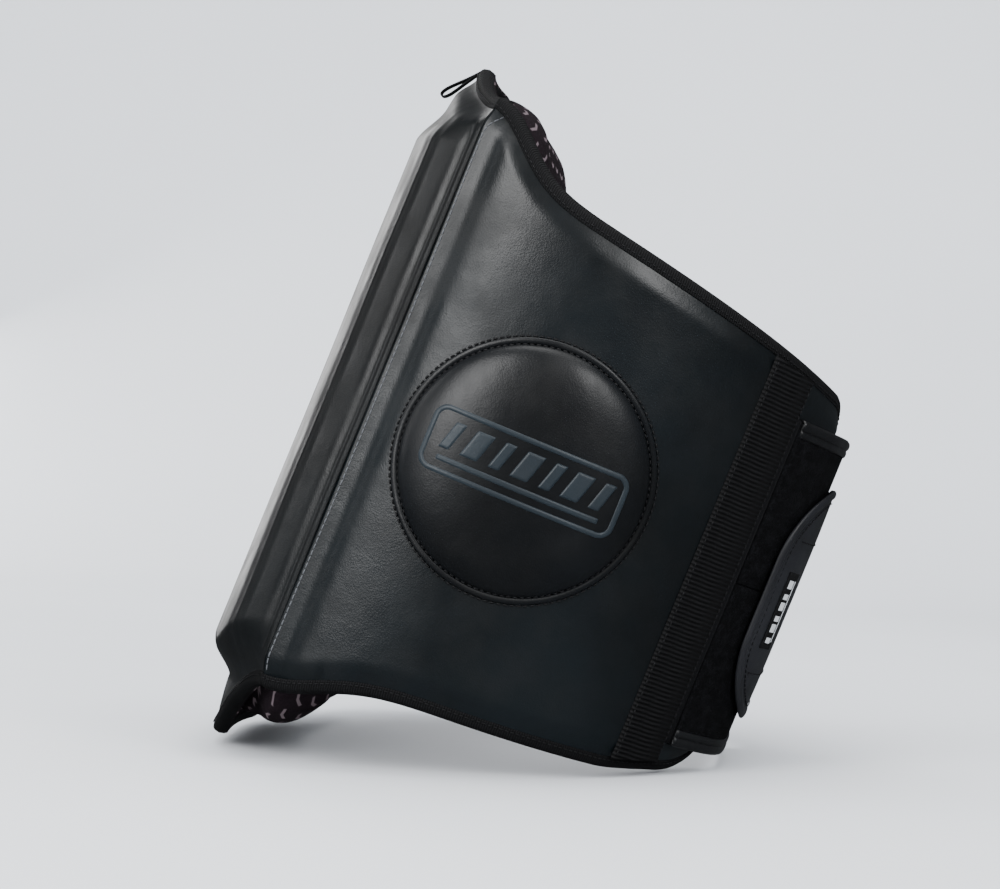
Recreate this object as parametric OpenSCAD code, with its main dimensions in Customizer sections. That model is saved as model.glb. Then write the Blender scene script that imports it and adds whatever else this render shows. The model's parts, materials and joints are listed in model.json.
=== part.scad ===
// Wrap-around body shield, worn round the waist: a raised front block, two padded side
// panels with round strike domes, and a hook-and-loop closure at the rear.
// It is drawn upright, as worn, and then leaned back into the stance in which it stands.
// Worn axes: +X is the wearer's left, -Y the front, +Z up, with the origin on the waist axis.

/* [Stance] */
// Lean of the shield as it stands by itself, in degrees
lean = 20.3; // [18:0.1:23]

/* [Ring] */
// Outer radius of the side panels
ring_r = 200; // [190:1:210]
// Angle of the front seam, forward of the sideways direction
seam_angle = -26.4; // [-28:0.2:-25]
// Angle at which a side panel ends at the rear
panel_end_angle = 67; // [65:1:68]
// Angle at which the closure leaves the curve of the side panels
leave_angle = 60; // [59:1:61]
// Bend radius of the closure where it leaves that curve
leave_r = 85; // [70:1:95]
// Radius of the nearly flat closure at the rear
rear_r = 738; // [650:1:800]
// Outer radius of the front panel
front_r = 518; // [500:2:540]

/* [Layers] */
// Thickness of the leather
leather_t = 1.5; // [1:0.1:2]
// Thickness of the foam in a side panel
side_foam_t = 16; // [12:1:18]
// Thickness of the foam behind the front panel
front_foam_t = 7; // [6:0.2:8]
// Thickness of the lining fabric
lining_t = 1.5; // [1:0.1:1.6]
// Clear gap between two layers
gap = 0.2; // [0.1:0.05:0.25]
// Thickness of the binding tape
tape_t = 0.9; // [0.7:0.1:1]
// Width of the binding tape on each face
tape_w = 8; // [7:0.5:8.5]

/* [Side panels] */
// Height of the line that the top edge follows, at the front seam
side_top_h = 172.5; // [168:0.5:176]
// Fall of the top edge for each millimetre towards the rear
side_top_slope = 0.18; // [0.15:0.001:0.2]
// Rise of the top edge over that line, at the front seam
side_top_rise = 33; // [30:1:36]
// Depth of the line that the bottom edge follows, at the front seam
side_bottom_h = 151.2; // [148:0.2:154]
// Rise of the bottom edge for each millimetre towards the rear
side_bottom_slope = 0.041; // [0.03:0.001:0.06]
// Dip of the bottom edge under that line, at the front seam
side_bottom_dip = 22; // [18:1:24]
// Extra rise of the bottom edge at the rear
side_bottom_lift = 5; // [0:0.5:6]
// Corner radius at the top of the rear edge
top_corner_r = 22; // [16:1:30]
// Corner radius at the bottom of the rear edge
bottom_corner_r = 56; // [44:1:60]

/* [Front panel] */
// Half height of the front panel
front_h = 229; // [225:1:232]
// Drop of its top edge at the seams
front_top_drop = 24; // [20:1:26]
// Rise of its bottom edge at the seams
front_bottom_rise = 56; // [50:1:60]
// Height by which the block stands proud
block_raise = 21; // [16:1:24]
// Top of the block's face
block_face_top_z = 171; // [165:1:176]
// Bottom of the block's face
block_face_bottom_z = -175; // [-180:1:-168]
// Top of the block where it meets the panel
block_base_top_z = 197; // [190:1:200]
// Bottom of the block where it meets the panel
block_base_bottom_z = -192; // [-196:1:-186]
// Depth of the inner cushion
cushion_depth = 42; // [34:1:44]
// Half width of the inner cushion
cushion_half_w = 166; // [156:1:166]

/* [Strike domes] */
// Diameter of the welt round a dome
dome_d = 156; // [140:1:170]
// Height of a dome
dome_h = 12; // [9:1:16]
// Angle of a dome's centre, behind the sideways direction
dome_angle = 4; // [2:1:8]
// Height of a dome's centre
dome_z = 6; // [0:1:12]

/* [Closure] */
// Width of the webbing strip that sews the closure to a side panel
webbing_w = 38; // [34:1:40]
// Distance of the strip's front edge from the sideways direction, along the leather
webbing_start = 135.5; // [133:0.5:139]
// Top of the loop panel
loop_top = 96; // [92:1:98]
// Bottom of the loop panel
loop_bottom = -116; // [-118:1:-108]
// Height of the elastic band
band_h = 150; // [140:1:156]
// Height of the tab
tab_h = 156; // [150:1:160]
// Middle height of the band and the tab
tab_z = -13; // [-16:1:-10]
// Corner radius of the tab
tab_corner_r = 54; // [40:1:60]
// Width of the tab's rolled edge
border_w = 6; // [5:0.5:8]

/* [Hanging loop] */
// Length of the loop
loop_l = 32; // [24:1:34]
// Width of its ribbon
loop_ribbon_w = 10; // [8:1:12]
// Angle by which it hangs below the straight-forward direction
loop_hang = 52; // [45:1:65]

/* [Hidden] */

// Half of the clear gap between the front and a side panel
seam_gap = 0.5;
side_columns = 24;
corner_columns = 8;
front_columns = 40;

// Offsets of the layers from the outer leather, negative inwards
foam_out = -leather_t - gap;
side_foam_in = foam_out - side_foam_t;
side_lining_out = side_foam_in - gap;
side_in = side_lining_out - lining_t;
front_foam_in = foam_out - front_foam_t;
front_lining_out = front_foam_in - gap;
front_in = front_lining_out - lining_t;
webbing_out = gap + 1.7;
strap_in = 1.3;
backing_out = strap_in + 1.3;
pile_out = backing_out + gap + 1.8;
hook_in = pile_out + 0.15;
hook_out = hook_in + 1.5;
tab_in = hook_out + 0.15;
tab_out = tab_in + 2.5;
strap_start = webbing_start + webbing_w + 0.8;
loop_seam_z = (loop_top + loop_bottom) / 2;

function mix(a, b, t) = a + (b - a) * t;
function polar(r, a) = [r * cos(a), r * sin(a)];
function reversed(v) = [for (i = [len(v) - 1:-1:0]) v[i]];
function smooth(t) = let (c = min(1, max(0, t))) c * c * (3 - 2 * c);
function to_deg(s) = s / ring_r * 180 / PI;
function to_arc(a) = ring_r * a * PI / 180;

seam = polar(ring_r, seam_angle);
front_cy = seam.y + sqrt(front_r * front_r - seam.x * seam.x);
// Line on which the front and a side panel meet, inwards from the seam: halfway between them
mitre_angle = 180 + (seam_angle - 90 + asin(seam.x / front_r)) / 2;
mitre_dir = polar(1, mitre_angle);
mitre_normal = polar(1, mitre_angle - 90);

// Point of the mitre line at distance r from the centre c
function mitre_point(c, r, clear) =
    let (q = seam + clear * mitre_normal - c)
    let (b = q * mitre_dir)
    c + q + mitre_dir * (-b - sqrt(b * b - q * q + r * r));

// ---- Side panel surface, at angle a, height z and offset off ----
function side_start(off) =
    let (p = mitre_point([0, 0], ring_r + off, seam_gap))
    atan2(p.y, p.x);
function side_xyz(a, z, off) =
    let (stretch = (panel_end_angle - side_start(off)) / (panel_end_angle - seam_angle))
    concat(closure_half_xy(to_arc(panel_end_angle - (panel_end_angle - a) * stretch), off), [z]);

function side_t(a) = max(0, to_arc(a - seam_angle));
function side_top(a) =
    side_top_h - side_top_slope * side_t(a) + side_top_rise * exp(-pow(side_t(a) / 40, 2));
function side_bottom(a) =
    side_bottom_slope * side_t(a) - side_bottom_h - side_bottom_dip * exp(-pow(side_t(a) / 50, 2))
    + side_bottom_lift * smooth((side_t(a) - 220) / 60);

side_end = to_arc(panel_end_angle);
// Drop of an edge at distance s past the start of a corner of radius r
function corner_drop(r, s) = r - sqrt(max(0, r * r - pow(max(0, s), 2)));
function side_hi(a, inset) =
    side_top(a) - inset - corner_drop(top_corner_r - inset, to_arc(a) - side_end + top_corner_r);
function side_lo(a, inset) =
    side_bottom(a) + inset
    + corner_drop(bottom_corner_r - inset, to_arc(a) - side_end + bottom_corner_r);
function side_angles(inset) =
    let (knee = side_end - bottom_corner_r)
    concat(
        [for (i = [0:side_columns - 1]) mix(seam_angle, to_deg(knee), i / side_columns)],
        [for (j = [0:corner_columns])
            to_deg(knee + (bottom_corner_r - inset) * sin(90 * j / corner_columns))]
    );

// ---- Front panel surface, at u from -1 (right seam) to 1 (left seam) ----
function front_half(off) =
    let (p = mitre_point([0, front_cy], front_r + off, -seam_gap))
    atan2(p.x, front_cy - p.y);
function front_xyz(u, z, off) =
    let (a = u * front_half(off))
    [(front_r + off) * sin(a), front_cy - (front_r + off) * cos(a), z];
function front_shoulder(u) = smooth((abs(u) * seam.x - 50) / (seam.x - 50));
function front_hi(u) = front_h - front_top_drop * front_shoulder(u);
function front_lo(u) = front_bottom_rise * front_shoulder(u) - front_h;
function front_u(half_width) = [for (i = [-front_columns / 2:front_columns / 2])
    half_width * sin(90 * i / (front_columns / 2))];

// ---- Closure surface, at distance s along the leather from the sideways direction ----
leave_s = to_arc(leave_angle);
rear_turn = asin((ring_r - leave_r) * cos(leave_angle) / (rear_r - leave_r));
rear_s = leave_s + leave_r * (90 - rear_turn - leave_angle) * PI / 180;
closure_half = rear_s + rear_r * rear_turn * PI / 180;
leave_c = polar(ring_r - leave_r, leave_angle);
rear_c = leave_c + polar(leave_r - rear_r, 90 - rear_turn);
function closure_half_xy(s, off) =
    s <= leave_s ? polar(ring_r + off, to_deg(s))
    : s <= rear_s ? leave_c + polar(leave_r + off, leave_angle + (s - leave_s) / leave_r * 180 / PI)
    : rear_c + polar(rear_r + off, 90 - rear_turn + (s - rear_s) / rear_r * 180 / PI);
function closure_xyz(s, z, off) =
    let (p = closure_half_xy(min(s, 2 * closure_half - s), off))
    [s > closure_half ? -p.x : p.x, p.y, z];
// Stations from s0 to s1, closer together round the bend on either side
function closure_stations(s0, s1, step = 6) =
    let (n = ceil((s1 - s0) / step))
    [for (i = [0:n]) mix(s0, s1, i / n)];

// Closed solid through a list of cross-sections with the same number of points.
// The section of a thin shell is closed by a strip between its paired points.
// Turned splits each wall quad along its other diagonal, to lie evenly along a neighbour.
module loft(sections, shell = false, turned = false) {
    n = len(sections);
    m = len(sections[0]);
    points = [for (section = sections) each section];
    walls = [for (i = [0:n - 2]) for (j = [0:m - 1])
        let (a = i * m + j, b = i * m + (j + 1) % m)
        each turned ? [[a, b, a + m], [b, b + m, a + m]] : [[a, b, b + m], [a, b + m, a + m]]];
    strip = [for (j = [0:m / 2 - 2]) each [[j, j + 1, m - 2 - j], [j, m - 2 - j, m - 1 - j]]];
    last = shell ? strip : [[for (j = [0:m - 1]) j]];
    ends = concat([for (f = last) reversed(f)], [for (f = last) [for (j = f) (n - 1) * m + j]]);
    polyhedron(points, concat(walls, ends));
}

// Leans the upright shield back and sets it on the floor, midway over the origin
module stand() {
    translate([0, stand_y, stand_z]) rotate([-lean, 0, 0]) children();
}

// Binding tape folded over an edge, as points of offset and distance out of the edge
function fold_profile(inner, outer, w = tape_w) = [
    [inner - gap - tape_t, -w], [inner - gap, -w], [inner - gap, gap], [outer + gap, gap],
    [outer + gap, -w], [outer + gap + tape_t, -w], [outer + gap + tape_t, gap + tape_t],
    [inner - gap - tape_t, gap + tape_t]
];

// ---- Front panel ----
// The block stands proud by its full height up to u = block_flat, then slopes to the seam
block_flat = 0.796;
block_core_half = 0.93;
function raise(u) = block_raise * min(1, (1 - abs(u)) / (1 - block_flat));
function block_base_top(u) = min(block_base_top_z, front_hi(u) - tape_w - 1);
function block_base_bottom(u) = min(-block_base_bottom_z, -front_lo(u) - tape_w - 1);
function block_face_top(u) = min(block_face_top_z, block_base_top(u) - 4);
function block_face_bottom(u) = min(-block_face_bottom_z, block_base_bottom(u) - 4);
function block_line(u, off) = [
    front_xyz(u, -block_base_bottom(u), off),
    front_xyz(u, -block_face_bottom(u), off + raise(u)),
    front_xyz(u, block_face_top(u), off + raise(u)),
    front_xyz(u, block_base_top(u), off)
];

module front_cover() {
    color("#1b1f20")
    stand() loft([for (u = front_u(1)) concat(
        [front_xyz(u, front_lo(u), 0)],
        block_line(u, 0),
        [front_xyz(u, front_hi(u), 0), front_xyz(u, front_hi(u), -leather_t)],
        reversed(block_line(u, -leather_t)),
        [front_xyz(u, front_lo(u), -leather_t)]
    )], shell = true);
}

module front_block_core() {
    // Slack at the block's ends, so that the foam is clear of the leather's slopes
    slack = 0.8;
    color("#d9d4c4")
    stand() loft([for (u = front_u(1)) if (abs(u) < block_core_half) [
        front_xyz(u, -block_base_bottom(u) + slack, foam_out + 0.1),
        front_xyz(u, -block_face_bottom(u), raise(u) - leather_t - gap),
        front_xyz(u, block_face_top(u), raise(u) - leather_t - gap),
        front_xyz(u, block_base_top(u) - slack, foam_out + 0.1)
    ]], turned = true);
}

module front_layer(inner, outer) {
    loft([for (u = front_u(1)) [
        front_xyz(u, front_lo(u), inner), front_xyz(u, front_lo(u), outer),
        front_xyz(u, front_hi(u), outer), front_xyz(u, front_hi(u), inner)
    ]]);
}

module front_base_core() {
    color("#cfc9b8")
    stand() front_layer(front_foam_in, foam_out - 0.1);
}

// The cushion's depth at u, which closes off at its side edges
cushion_u = cushion_half_w / seam.x;
function cushion_closing(u) = sqrt(max(0, 1 - pow(min(1, abs(u) / cushion_u), 14)));
function cushion_d(u) = max(0.6, cushion_depth * cushion_closing(u));
// Distance from the panel's edge to the cushion's neck, where it meets the panel
function cushion_margin(u) = tape_w + 1.5 + 40 * (1 - cushion_closing(u));
// Offset and height of the cushion's skin, from the bottom up, drawn in by inset.
// Towards the sides it bulges further out past its neck.
function cushion_profile(u, inset) =
    let (d = cushion_d(u), full = cushion_closing(u), side = front_shoulder(u))
    let (neck_lo = front_lo(u) + cushion_margin(u) + inset)
    let (neck_hi = front_hi(u) - cushion_margin(u) - inset)
    let (lo = neck_lo - 30 * side * full, hi = neck_hi + (2 + 6.5 * side) * full)
    [
        [front_in, neck_lo], [front_in - 0.05 * d, neck_lo],
        [front_in - 0.3 * d, lo + 2 * full], [front_in - 0.55 * d, lo],
        [front_in - 0.7 * d, lo + 3.5 * full], [front_in - 0.85 * d, lo + 11 * full],
        [front_in - d, lo + 28 * full],
        [front_in - d, hi - 28 * full],
        [front_in - 0.85 * d, hi - 11 * full], [front_in - 0.7 * d, hi - 4 * full],
        [front_in - 0.5 * d, hi], [front_in - 0.3 * d, hi],
        [front_in - 0.05 * d, neck_hi], [front_in, neck_hi]
    ];

// Height of the stance that puts the lowest of the side panels and the cushion on the floor
function low_point(p) = p.y * sin(lean) - p.z * cos(lean);
stand_z = max(concat(
    [for (a = side_angles(0)) low_point(side_xyz(a, side_lo(a, 0) - gap - tape_t, gap + tape_t))],
    [for (p = cushion_profile(0, 0)) low_point(front_xyz(0, p[1], p[0]))]
));
// Shift that puts the middle of the whole depth over the origin
function reach(p) = p.y * cos(lean) + p.z * sin(lean);
stand_y = -(reach(front_xyz(0, block_face_bottom_z, block_raise))
    + reach(closure_xyz(closure_half, loop_top + tape_t, pile_out + tape_t))) / 2;

module front_cushion() {
    // Shift from the lining's inner skin into the cushion, and slack in height
    shift = lining_t + gap;
    slack = lining_t + 0.5;
    half = cushion_u - 0.03;
    color("#c8c2b2")
    stand() loft([for (u = front_u(1)) if (abs(u) < half)
        [for (p = reversed(cushion_profile(u, slack)))
            front_xyz(u, p[1], min(p[0] + shift, front_foam_in - 0.3))]
    ], turned = true);
}

// The lining is a shell: its skin runs round the cushion, open towards the foam behind
module front_lining() {
    color("#241d21")
    stand() loft([for (u = front_u(1)) concat(
        [front_xyz(u, front_lo(u), front_lining_out)],
        [for (p = cushion_profile(u, lining_t))
            front_xyz(u, p[1], min(p[0] + lining_t, front_lining_out))],
        [front_xyz(u, front_hi(u), front_lining_out), front_xyz(u, front_hi(u), front_in)],
        [for (p = reversed(cushion_profile(u, 0))) front_xyz(u, p[1], p[0])],
        [front_xyz(u, front_lo(u), front_in)]
    )], shell = true);
}

module front_binding(side) {
    direction = side == "top" ? 1 : -1;
    loft([for (u = front_u(1))
        let (z = side == "top" ? front_hi(u) : front_lo(-u))
        [for (p = fold_profile(front_in, 0)) front_xyz(direction * u, z + direction * p[1], p[0])]]);
}

module front_binding_top() {
    color("#0c0c0d")
    stand() front_binding("top");
}

module front_binding_bottom() {
    color("#0c0c0d")
    stand() front_binding("bottom");
}

// ---- Side panels, drawn on the wearer's left ----
module side_layer(inner, outer) {
    loft([for (a = side_angles(0)) [
        side_xyz(a, side_lo(a, 0), inner), side_xyz(a, side_lo(a, 0), outer),
        side_xyz(a, side_hi(a, 0), outer), side_xyz(a, side_hi(a, 0), inner)
    ]]);
}

// Stations round the top, rear and bottom edges: angle, height and direction out of the edge
function edge_stations() =
    let (top_knee = side_end - top_corner_r, bottom_knee = side_end - bottom_corner_r)
    concat(
        [for (a = side_angles(0))
            let (run = min(1, max(0, to_arc(a) - top_knee) / top_corner_r))
            [a, side_hi(a, 0), run, sqrt(1 - run * run)]],
        [for (j = [0:corner_columns])
            let (turn = 90 * j / corner_columns)
            let (a = to_deg(bottom_knee + bottom_corner_r * cos(turn)))
            [a, side_bottom(a) + bottom_corner_r * (1 - sin(turn)), cos(turn), -sin(turn)]],
        [for (i = [side_columns - 1:-1:0])
            let (a = mix(seam_angle, to_deg(bottom_knee), i / side_columns))
            [a, side_bottom(a), 0, -1]]
    );

module side_binding() {
    loft([for (e = edge_stations()) [for (p = fold_profile(side_in, 0))
        side_xyz(e[0] + to_deg(p[1] * e[2]), e[1] + p[1] * e[3], p[0])]], turned = true);
}

module dome_bore(d) {
    rotate([0, 0, dome_angle]) translate([ring_r / 2, 0, dome_z]) rotate([0, 90, 0])
        cylinder(d = d, h = ring_r, $fn = 96);
}

module ring_disc(off) {
    translate([0, 0, dome_z - dome_d]) cylinder(r = ring_r + off, h = 2 * dome_d, $fn = 180);
}

// Part of the dome that lies between two offsets, inside a given diameter
module dome_slice(d, inner, outer) {
    difference() {
        intersection() {
            ring_disc(outer);
            dome_bore(d);
        }
        ring_disc(inner);
    }
}

module dome_core() {
    dome_slice(dome_d - 14, gap, dome_h - leather_t - gap);
}

module dome_cover() {
    difference() {
        dome_slice(dome_d - 8, gap, dome_h);
        dome_slice(dome_d - 12, 0, dome_h - leather_t);
    }
}

module dome_welt() {
    difference() {
        dome_slice(dome_d, gap, 3);
        dome_bore(dome_d - 7);
    }
}

module webbing() {
    end_inset = tape_w + 0.4;
    loft([for (s = closure_stations(webbing_start, webbing_start + webbing_w))
        let (a = to_deg(s))
        [
            closure_xyz(s, side_lo(a, end_inset), gap),
            closure_xyz(s, side_lo(a, end_inset), webbing_out),
            closure_xyz(s, side_hi(a, end_inset), webbing_out),
            closure_xyz(s, side_hi(a, end_inset), gap)
        ]]);
}

module right() {
    mirror([1, 0, 0]) children();
}

module left_cover() {
    color("#1b1f20")
    stand() side_layer(-leather_t, 0);
}

module left_core() {
    color("#cfc9b8")
    stand() side_layer(side_foam_in, foam_out);
}

module left_lining() {
    color("#241d21")
    stand() side_layer(side_in, side_lining_out);
}

module left_dome_cover() {
    color("#17191b")
    stand() dome_cover();
}

module left_dome_core() {
    color("#d9d4c4")
    stand() dome_core();
}

module left_dome_welt() {
    color("#17191b")
    stand() dome_welt();
}

module left_binding() {
    color("#0c0c0d")
    stand() side_binding();
}

module left_webbing() {
    color("#111112")
    stand() webbing();
}

module right_cover() {
    color("#1b1f20")
    stand() right() side_layer(-leather_t, 0);
}

module right_core() {
    color("#cfc9b8")
    stand() right() side_layer(side_foam_in, foam_out);
}

module right_lining() {
    color("#241d21")
    stand() right() side_layer(side_in, side_lining_out);
}

module right_dome_cover() {
    color("#17191b")
    stand() right() dome_cover();
}

module right_dome_core() {
    color("#d9d4c4")
    stand() right() dome_core();
}

module right_dome_welt() {
    color("#17191b")
    stand() right() dome_welt();
}

module right_binding() {
    color("#0c0c0d")
    stand() right() side_binding();
}

module right_webbing() {
    color("#111112")
    stand() right() webbing();
}

// ---- Closure ----
loop_end = closure_half + 40;
band_end = closure_half - 12;
tab_start = 198;
tab_end = closure_half + 8;
binding_leg = 10;

function flat_section(s, lo, hi, inner, outer) = [
    closure_xyz(s, lo, inner), closure_xyz(s, lo, outer),
    closure_xyz(s, hi, outer), closure_xyz(s, hi, inner)
];

module loop_layer(lo, hi, inner, outer) {
    loft([for (s = closure_stations(strap_start, loop_end)) flat_section(s, lo, hi, inner, outer)]);
}

// Binding over an edge of a strap: a leg on the outer face and one over the edge.
// step is how far the strap steps out on its way round, and then its outer face.
module strap_binding(z, direction, end, step) {
    outer = step[1] + gap;
    profile = [
        [strap_in, gap], [outer, gap], [outer, -binding_leg], [outer + tape_t, -binding_leg],
        [outer + tape_t, gap + tape_t], [strap_in, gap + tape_t]
    ];
    loft([for (s = closure_stations(strap_start, end))
        [for (p = direction > 0 ? profile : reversed(profile))
            closure_xyz(s, z + direction * p[1], p[0] + step[0] * step_out(s))]]);
}

module loop_backing() {
    color("#101012")
    stand() loop_layer(loop_bottom, loop_top, strap_in, backing_out);
}

module loop_tape_upper() {
    color("#0e0e0f")
    stand() loop_layer(loop_seam_z + gap / 2, loop_top, backing_out + gap, pile_out);
}

module loop_tape_lower() {
    color("#0e0e0f")
    stand() loop_layer(loop_bottom, loop_seam_z - gap / 2, backing_out + gap, pile_out);
}

module loop_binding_top() {
    color("#17191b")
    stand() strap_binding(loop_top, 1, loop_end, [0, pile_out]);
}

module loop_binding_bottom() {
    color("#17191b")
    stand() strap_binding(loop_bottom, -1, loop_end, [0, pile_out]);
}

// The band steps out over the loop panel's end. It is drawn on the wearer's left and mirrored.
band_t = 1.8;
band_step = hook_in + 0.1 - strap_in;
function step_out(s) = smooth((s - (closure_half - 78)) / 32);

module elastic_band() {
    color("#141416")
    stand() right() loft([for (s = closure_stations(strap_start, band_end))
        flat_section(s, tab_z - band_h / 2, tab_z + band_h / 2,
            strap_in + band_step * step_out(s), strap_in + band_t + band_step * step_out(s))]);
}

module elastic_binding_top() {
    color("#17191b")
    stand() right()
        strap_binding(tab_z + band_h / 2, 1, band_end, [band_step, strap_in + band_t]);
}

module elastic_binding_bottom() {
    color("#17191b")
    stand() right()
        strap_binding(tab_z - band_h / 2, -1, band_end, [band_step, strap_in + band_t]);
}

// Half height of the tab at s, drawn in by inset, with its rounded end at tab_start
function tab_half(s, inset) =
    tab_h / 2 - inset - corner_drop(tab_corner_r - inset, tab_start + tab_corner_r - s);
function tab_stations(inset) =
    let (knee = tab_start + tab_corner_r)
    concat(
        [for (j = [corner_columns:-1:1]) knee - (tab_corner_r - inset) * sin(90 * j / corner_columns)],
        closure_stations(knee, tab_end)
    );

module tab_layer(inset, inner, outer) {
    loft([for (s = tab_stations(inset))
        flat_section(s, tab_z - tab_half(s, inset), tab_z + tab_half(s, inset), inner, outer)]);
}

module hook_patch() {
    color("#0b0b0c")
    stand() tab_layer(9, hook_in, hook_out);
}

module tab_cover() {
    color("#26282b")
    stand() tab_layer(border_w + gap, tab_in, tab_out);
}

// Stations round the tab's edge: distance, height and direction out of the edge
function tab_edge() =
    let (knee = tab_start + tab_corner_r)
    let (side = [for (s = reversed(closure_stations(knee, tab_end))) [s, tab_h / 2, 0, 1]])
    let (bend = [for (j = [1:corner_columns])
        let (turn = 90 * j / corner_columns)
        [knee - tab_corner_r * sin(turn), tab_h / 2 - tab_corner_r * (1 - cos(turn)),
            -sin(turn), cos(turn)]])
    let (upper = concat(side, bend))
    concat(upper, [for (e = reversed(upper)) [e[0], -e[1], e[2], -e[3]]]);

module tab_border() {
    border_out = tab_out + 1.2;
    section = [[tab_in, 0], [border_out, 0], [border_out, -border_w], [tab_in, -border_w]];
    color("#26282b")
    stand() loft([for (e = tab_edge()) [for (p = section)
        closure_xyz(e[0] + p[1] * e[2], tab_z + e[1] + p[1] * e[3], p[0])]]);
}

module tab_label() {
    label_start = tab_start + border_w + 12;
    color("#0a0a0a")
    stand() loft([for (s = closure_stations(label_start, label_start + 17))
        flat_section(s, -43, 8, tab_out + gap, tab_out + gap + 0.6)]);
}

// ---- Hanging loop ----
module ribbon_outline(inset) {
    ribbon_gap = 4.4;
    width = ribbon_gap - 2 * inset;
    translate([-loop_l + width / 2 + inset, 0]) circle(d = width, $fn = 32);
    translate([-width / 2 - inset, 0]) circle(d = width, $fn = 32);
    translate([-loop_l + width / 2 + inset, -width / 2]) square([loop_l - width - 2 * inset, width]);
}

module hang_loop() {
    ribbon_t = 0.9;
    // The fold of the ribbon sits just above the binding of the top edge
    root = [0, front_xyz(0, 0, gap + tape_t).y - 1.5, front_h + gap + tape_t + 2.6];
    color("#0c0c0d")
    stand() translate([-loop_ribbon_w / 2, root.y, root.z]) rotate([loop_hang, 0, 0])
        rotate([90, 0, 90]) linear_extrude(loop_ribbon_w) difference() {
            ribbon_outline(0);
            ribbon_outline(ribbon_t);
        }
}

front_cover();
front_block_core();
front_base_core();
front_cushion();
front_lining();
front_binding_top();
front_binding_bottom();
left_cover();
left_core();
left_lining();
left_dome_cover();
left_dome_core();
left_dome_welt();
left_binding();
left_webbing();
right_cover();
right_core();
right_lining();
right_dome_cover();
right_dome_core();
right_dome_welt();
right_binding();
right_webbing();
loop_backing();
loop_tape_upper();
loop_tape_lower();
loop_binding_top();
loop_binding_bottom();
elastic_band();
elastic_binding_top();
elastic_binding_bottom();
tab_cover();
tab_border();
hook_patch();
tab_label();
hang_loop();
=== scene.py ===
"""Looks for a wrap-around body shield: leather, tapes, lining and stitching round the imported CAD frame.

Every shape is worked out in the shield's worn axes, in millimetres: +X is the wearer's left, -Y the
front, +Z up, with the origin on the waist axis. place() leans the points back into the stance.
"""

import json
import math

import bmesh
import bpy
import numpy as np
from mathutils import Matrix, Vector
from mathutils.bvhtree import BVHTree
from mathutils.interpolate import poly_3d_calc


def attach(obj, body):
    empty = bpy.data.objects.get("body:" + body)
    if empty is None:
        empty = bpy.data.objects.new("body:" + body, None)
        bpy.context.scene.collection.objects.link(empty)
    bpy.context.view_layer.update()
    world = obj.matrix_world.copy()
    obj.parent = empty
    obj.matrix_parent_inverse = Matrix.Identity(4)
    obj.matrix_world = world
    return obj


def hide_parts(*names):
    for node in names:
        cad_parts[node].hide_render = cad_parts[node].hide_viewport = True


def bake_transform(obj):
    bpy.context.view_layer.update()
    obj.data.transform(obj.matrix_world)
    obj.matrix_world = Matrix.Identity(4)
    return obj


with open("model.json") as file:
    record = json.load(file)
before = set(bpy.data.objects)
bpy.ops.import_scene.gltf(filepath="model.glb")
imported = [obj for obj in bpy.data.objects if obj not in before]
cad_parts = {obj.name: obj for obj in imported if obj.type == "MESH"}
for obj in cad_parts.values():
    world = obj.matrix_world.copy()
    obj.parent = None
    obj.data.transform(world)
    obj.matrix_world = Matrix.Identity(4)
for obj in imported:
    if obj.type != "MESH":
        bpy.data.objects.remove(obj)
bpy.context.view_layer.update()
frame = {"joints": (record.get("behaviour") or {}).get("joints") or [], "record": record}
JOINTS = {j["name"]: j for j in frame["joints"]}
MOUNTS = {m["name"]: m for m in frame["record"]["mounts"]}

# ---- Stance ----
UP = Vector(JOINTS["strap_open"]["axis"])
LEAN = math.atan2(UP.y, UP.z)
ORIGIN = np.array(MOUNTS["waist_wrap"]["pos_m"])

# ---- Ring, as in the CAD source ----
RING_R = 200.0
SEAM_ANGLE = math.radians(-26.4)
END_S = RING_R * math.radians(67.0)
LEAVE_ANGLE = math.radians(60.0)
LEAVE_R = 85.0
REAR_R = 738.0
FRONT_R = 518.0
SIDE_IN = -19.4
FRONT_IN = -10.4
TOP_CORNER = 22.0
BOTTOM_CORNER = 56.0
FRONT_H = 229.0
BLOCK_RAISE = 21.0
BLOCK_FLAT = 0.796
MITRE_GAP = 0.15
DOME_S = RING_R * math.radians(4.0)
DOME_Z = 6.0
DOME_R = 78.0
DOME_H = 12.0
WEBBING_S = 135.5
WEBBING_W = 38.0
STRAP_S = WEBBING_S + WEBBING_W + 0.8
LOOP_TOP = 96.0
LOOP_BOTTOM = -116.0
BAND_H = 150.0
TAB_Z = -13.0
TAB_HALF = 78.0
TAB_S = 198.0
TAB_CORNER = 54.0
TAPE_W = 8.0
LOOP_OUT = 4.6
TAB_IN = 6.4
TAB_OUT = 8.9

SEAM_X = RING_R * math.cos(SEAM_ANGLE)
SEAM_Y = RING_R * math.sin(SEAM_ANGLE)
SEAM_S = RING_R * SEAM_ANGLE
FRONT_CY = SEAM_Y + math.sqrt(FRONT_R**2 - SEAM_X**2)
FRONT_HALF = math.asin(SEAM_X / FRONT_R)
MITRE = math.pi + (SEAM_ANGLE - math.pi / 2 + FRONT_HALF) / 2

LEAVE_S = RING_R * LEAVE_ANGLE
REAR_TURN = math.asin((RING_R - LEAVE_R) * math.cos(LEAVE_ANGLE) / (REAR_R - LEAVE_R))
REAR_S = LEAVE_S + LEAVE_R * (math.pi / 2 - REAR_TURN - LEAVE_ANGLE)
HALF_S = REAR_S + REAR_R * REAR_TURN
LEAVE_C = (RING_R - LEAVE_R) * np.array([math.cos(LEAVE_ANGLE), math.sin(LEAVE_ANGLE)])
REAR_C = LEAVE_C + (LEAVE_R - REAR_R) * np.array([math.sin(REAR_TURN), math.cos(REAR_TURN)])


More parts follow.
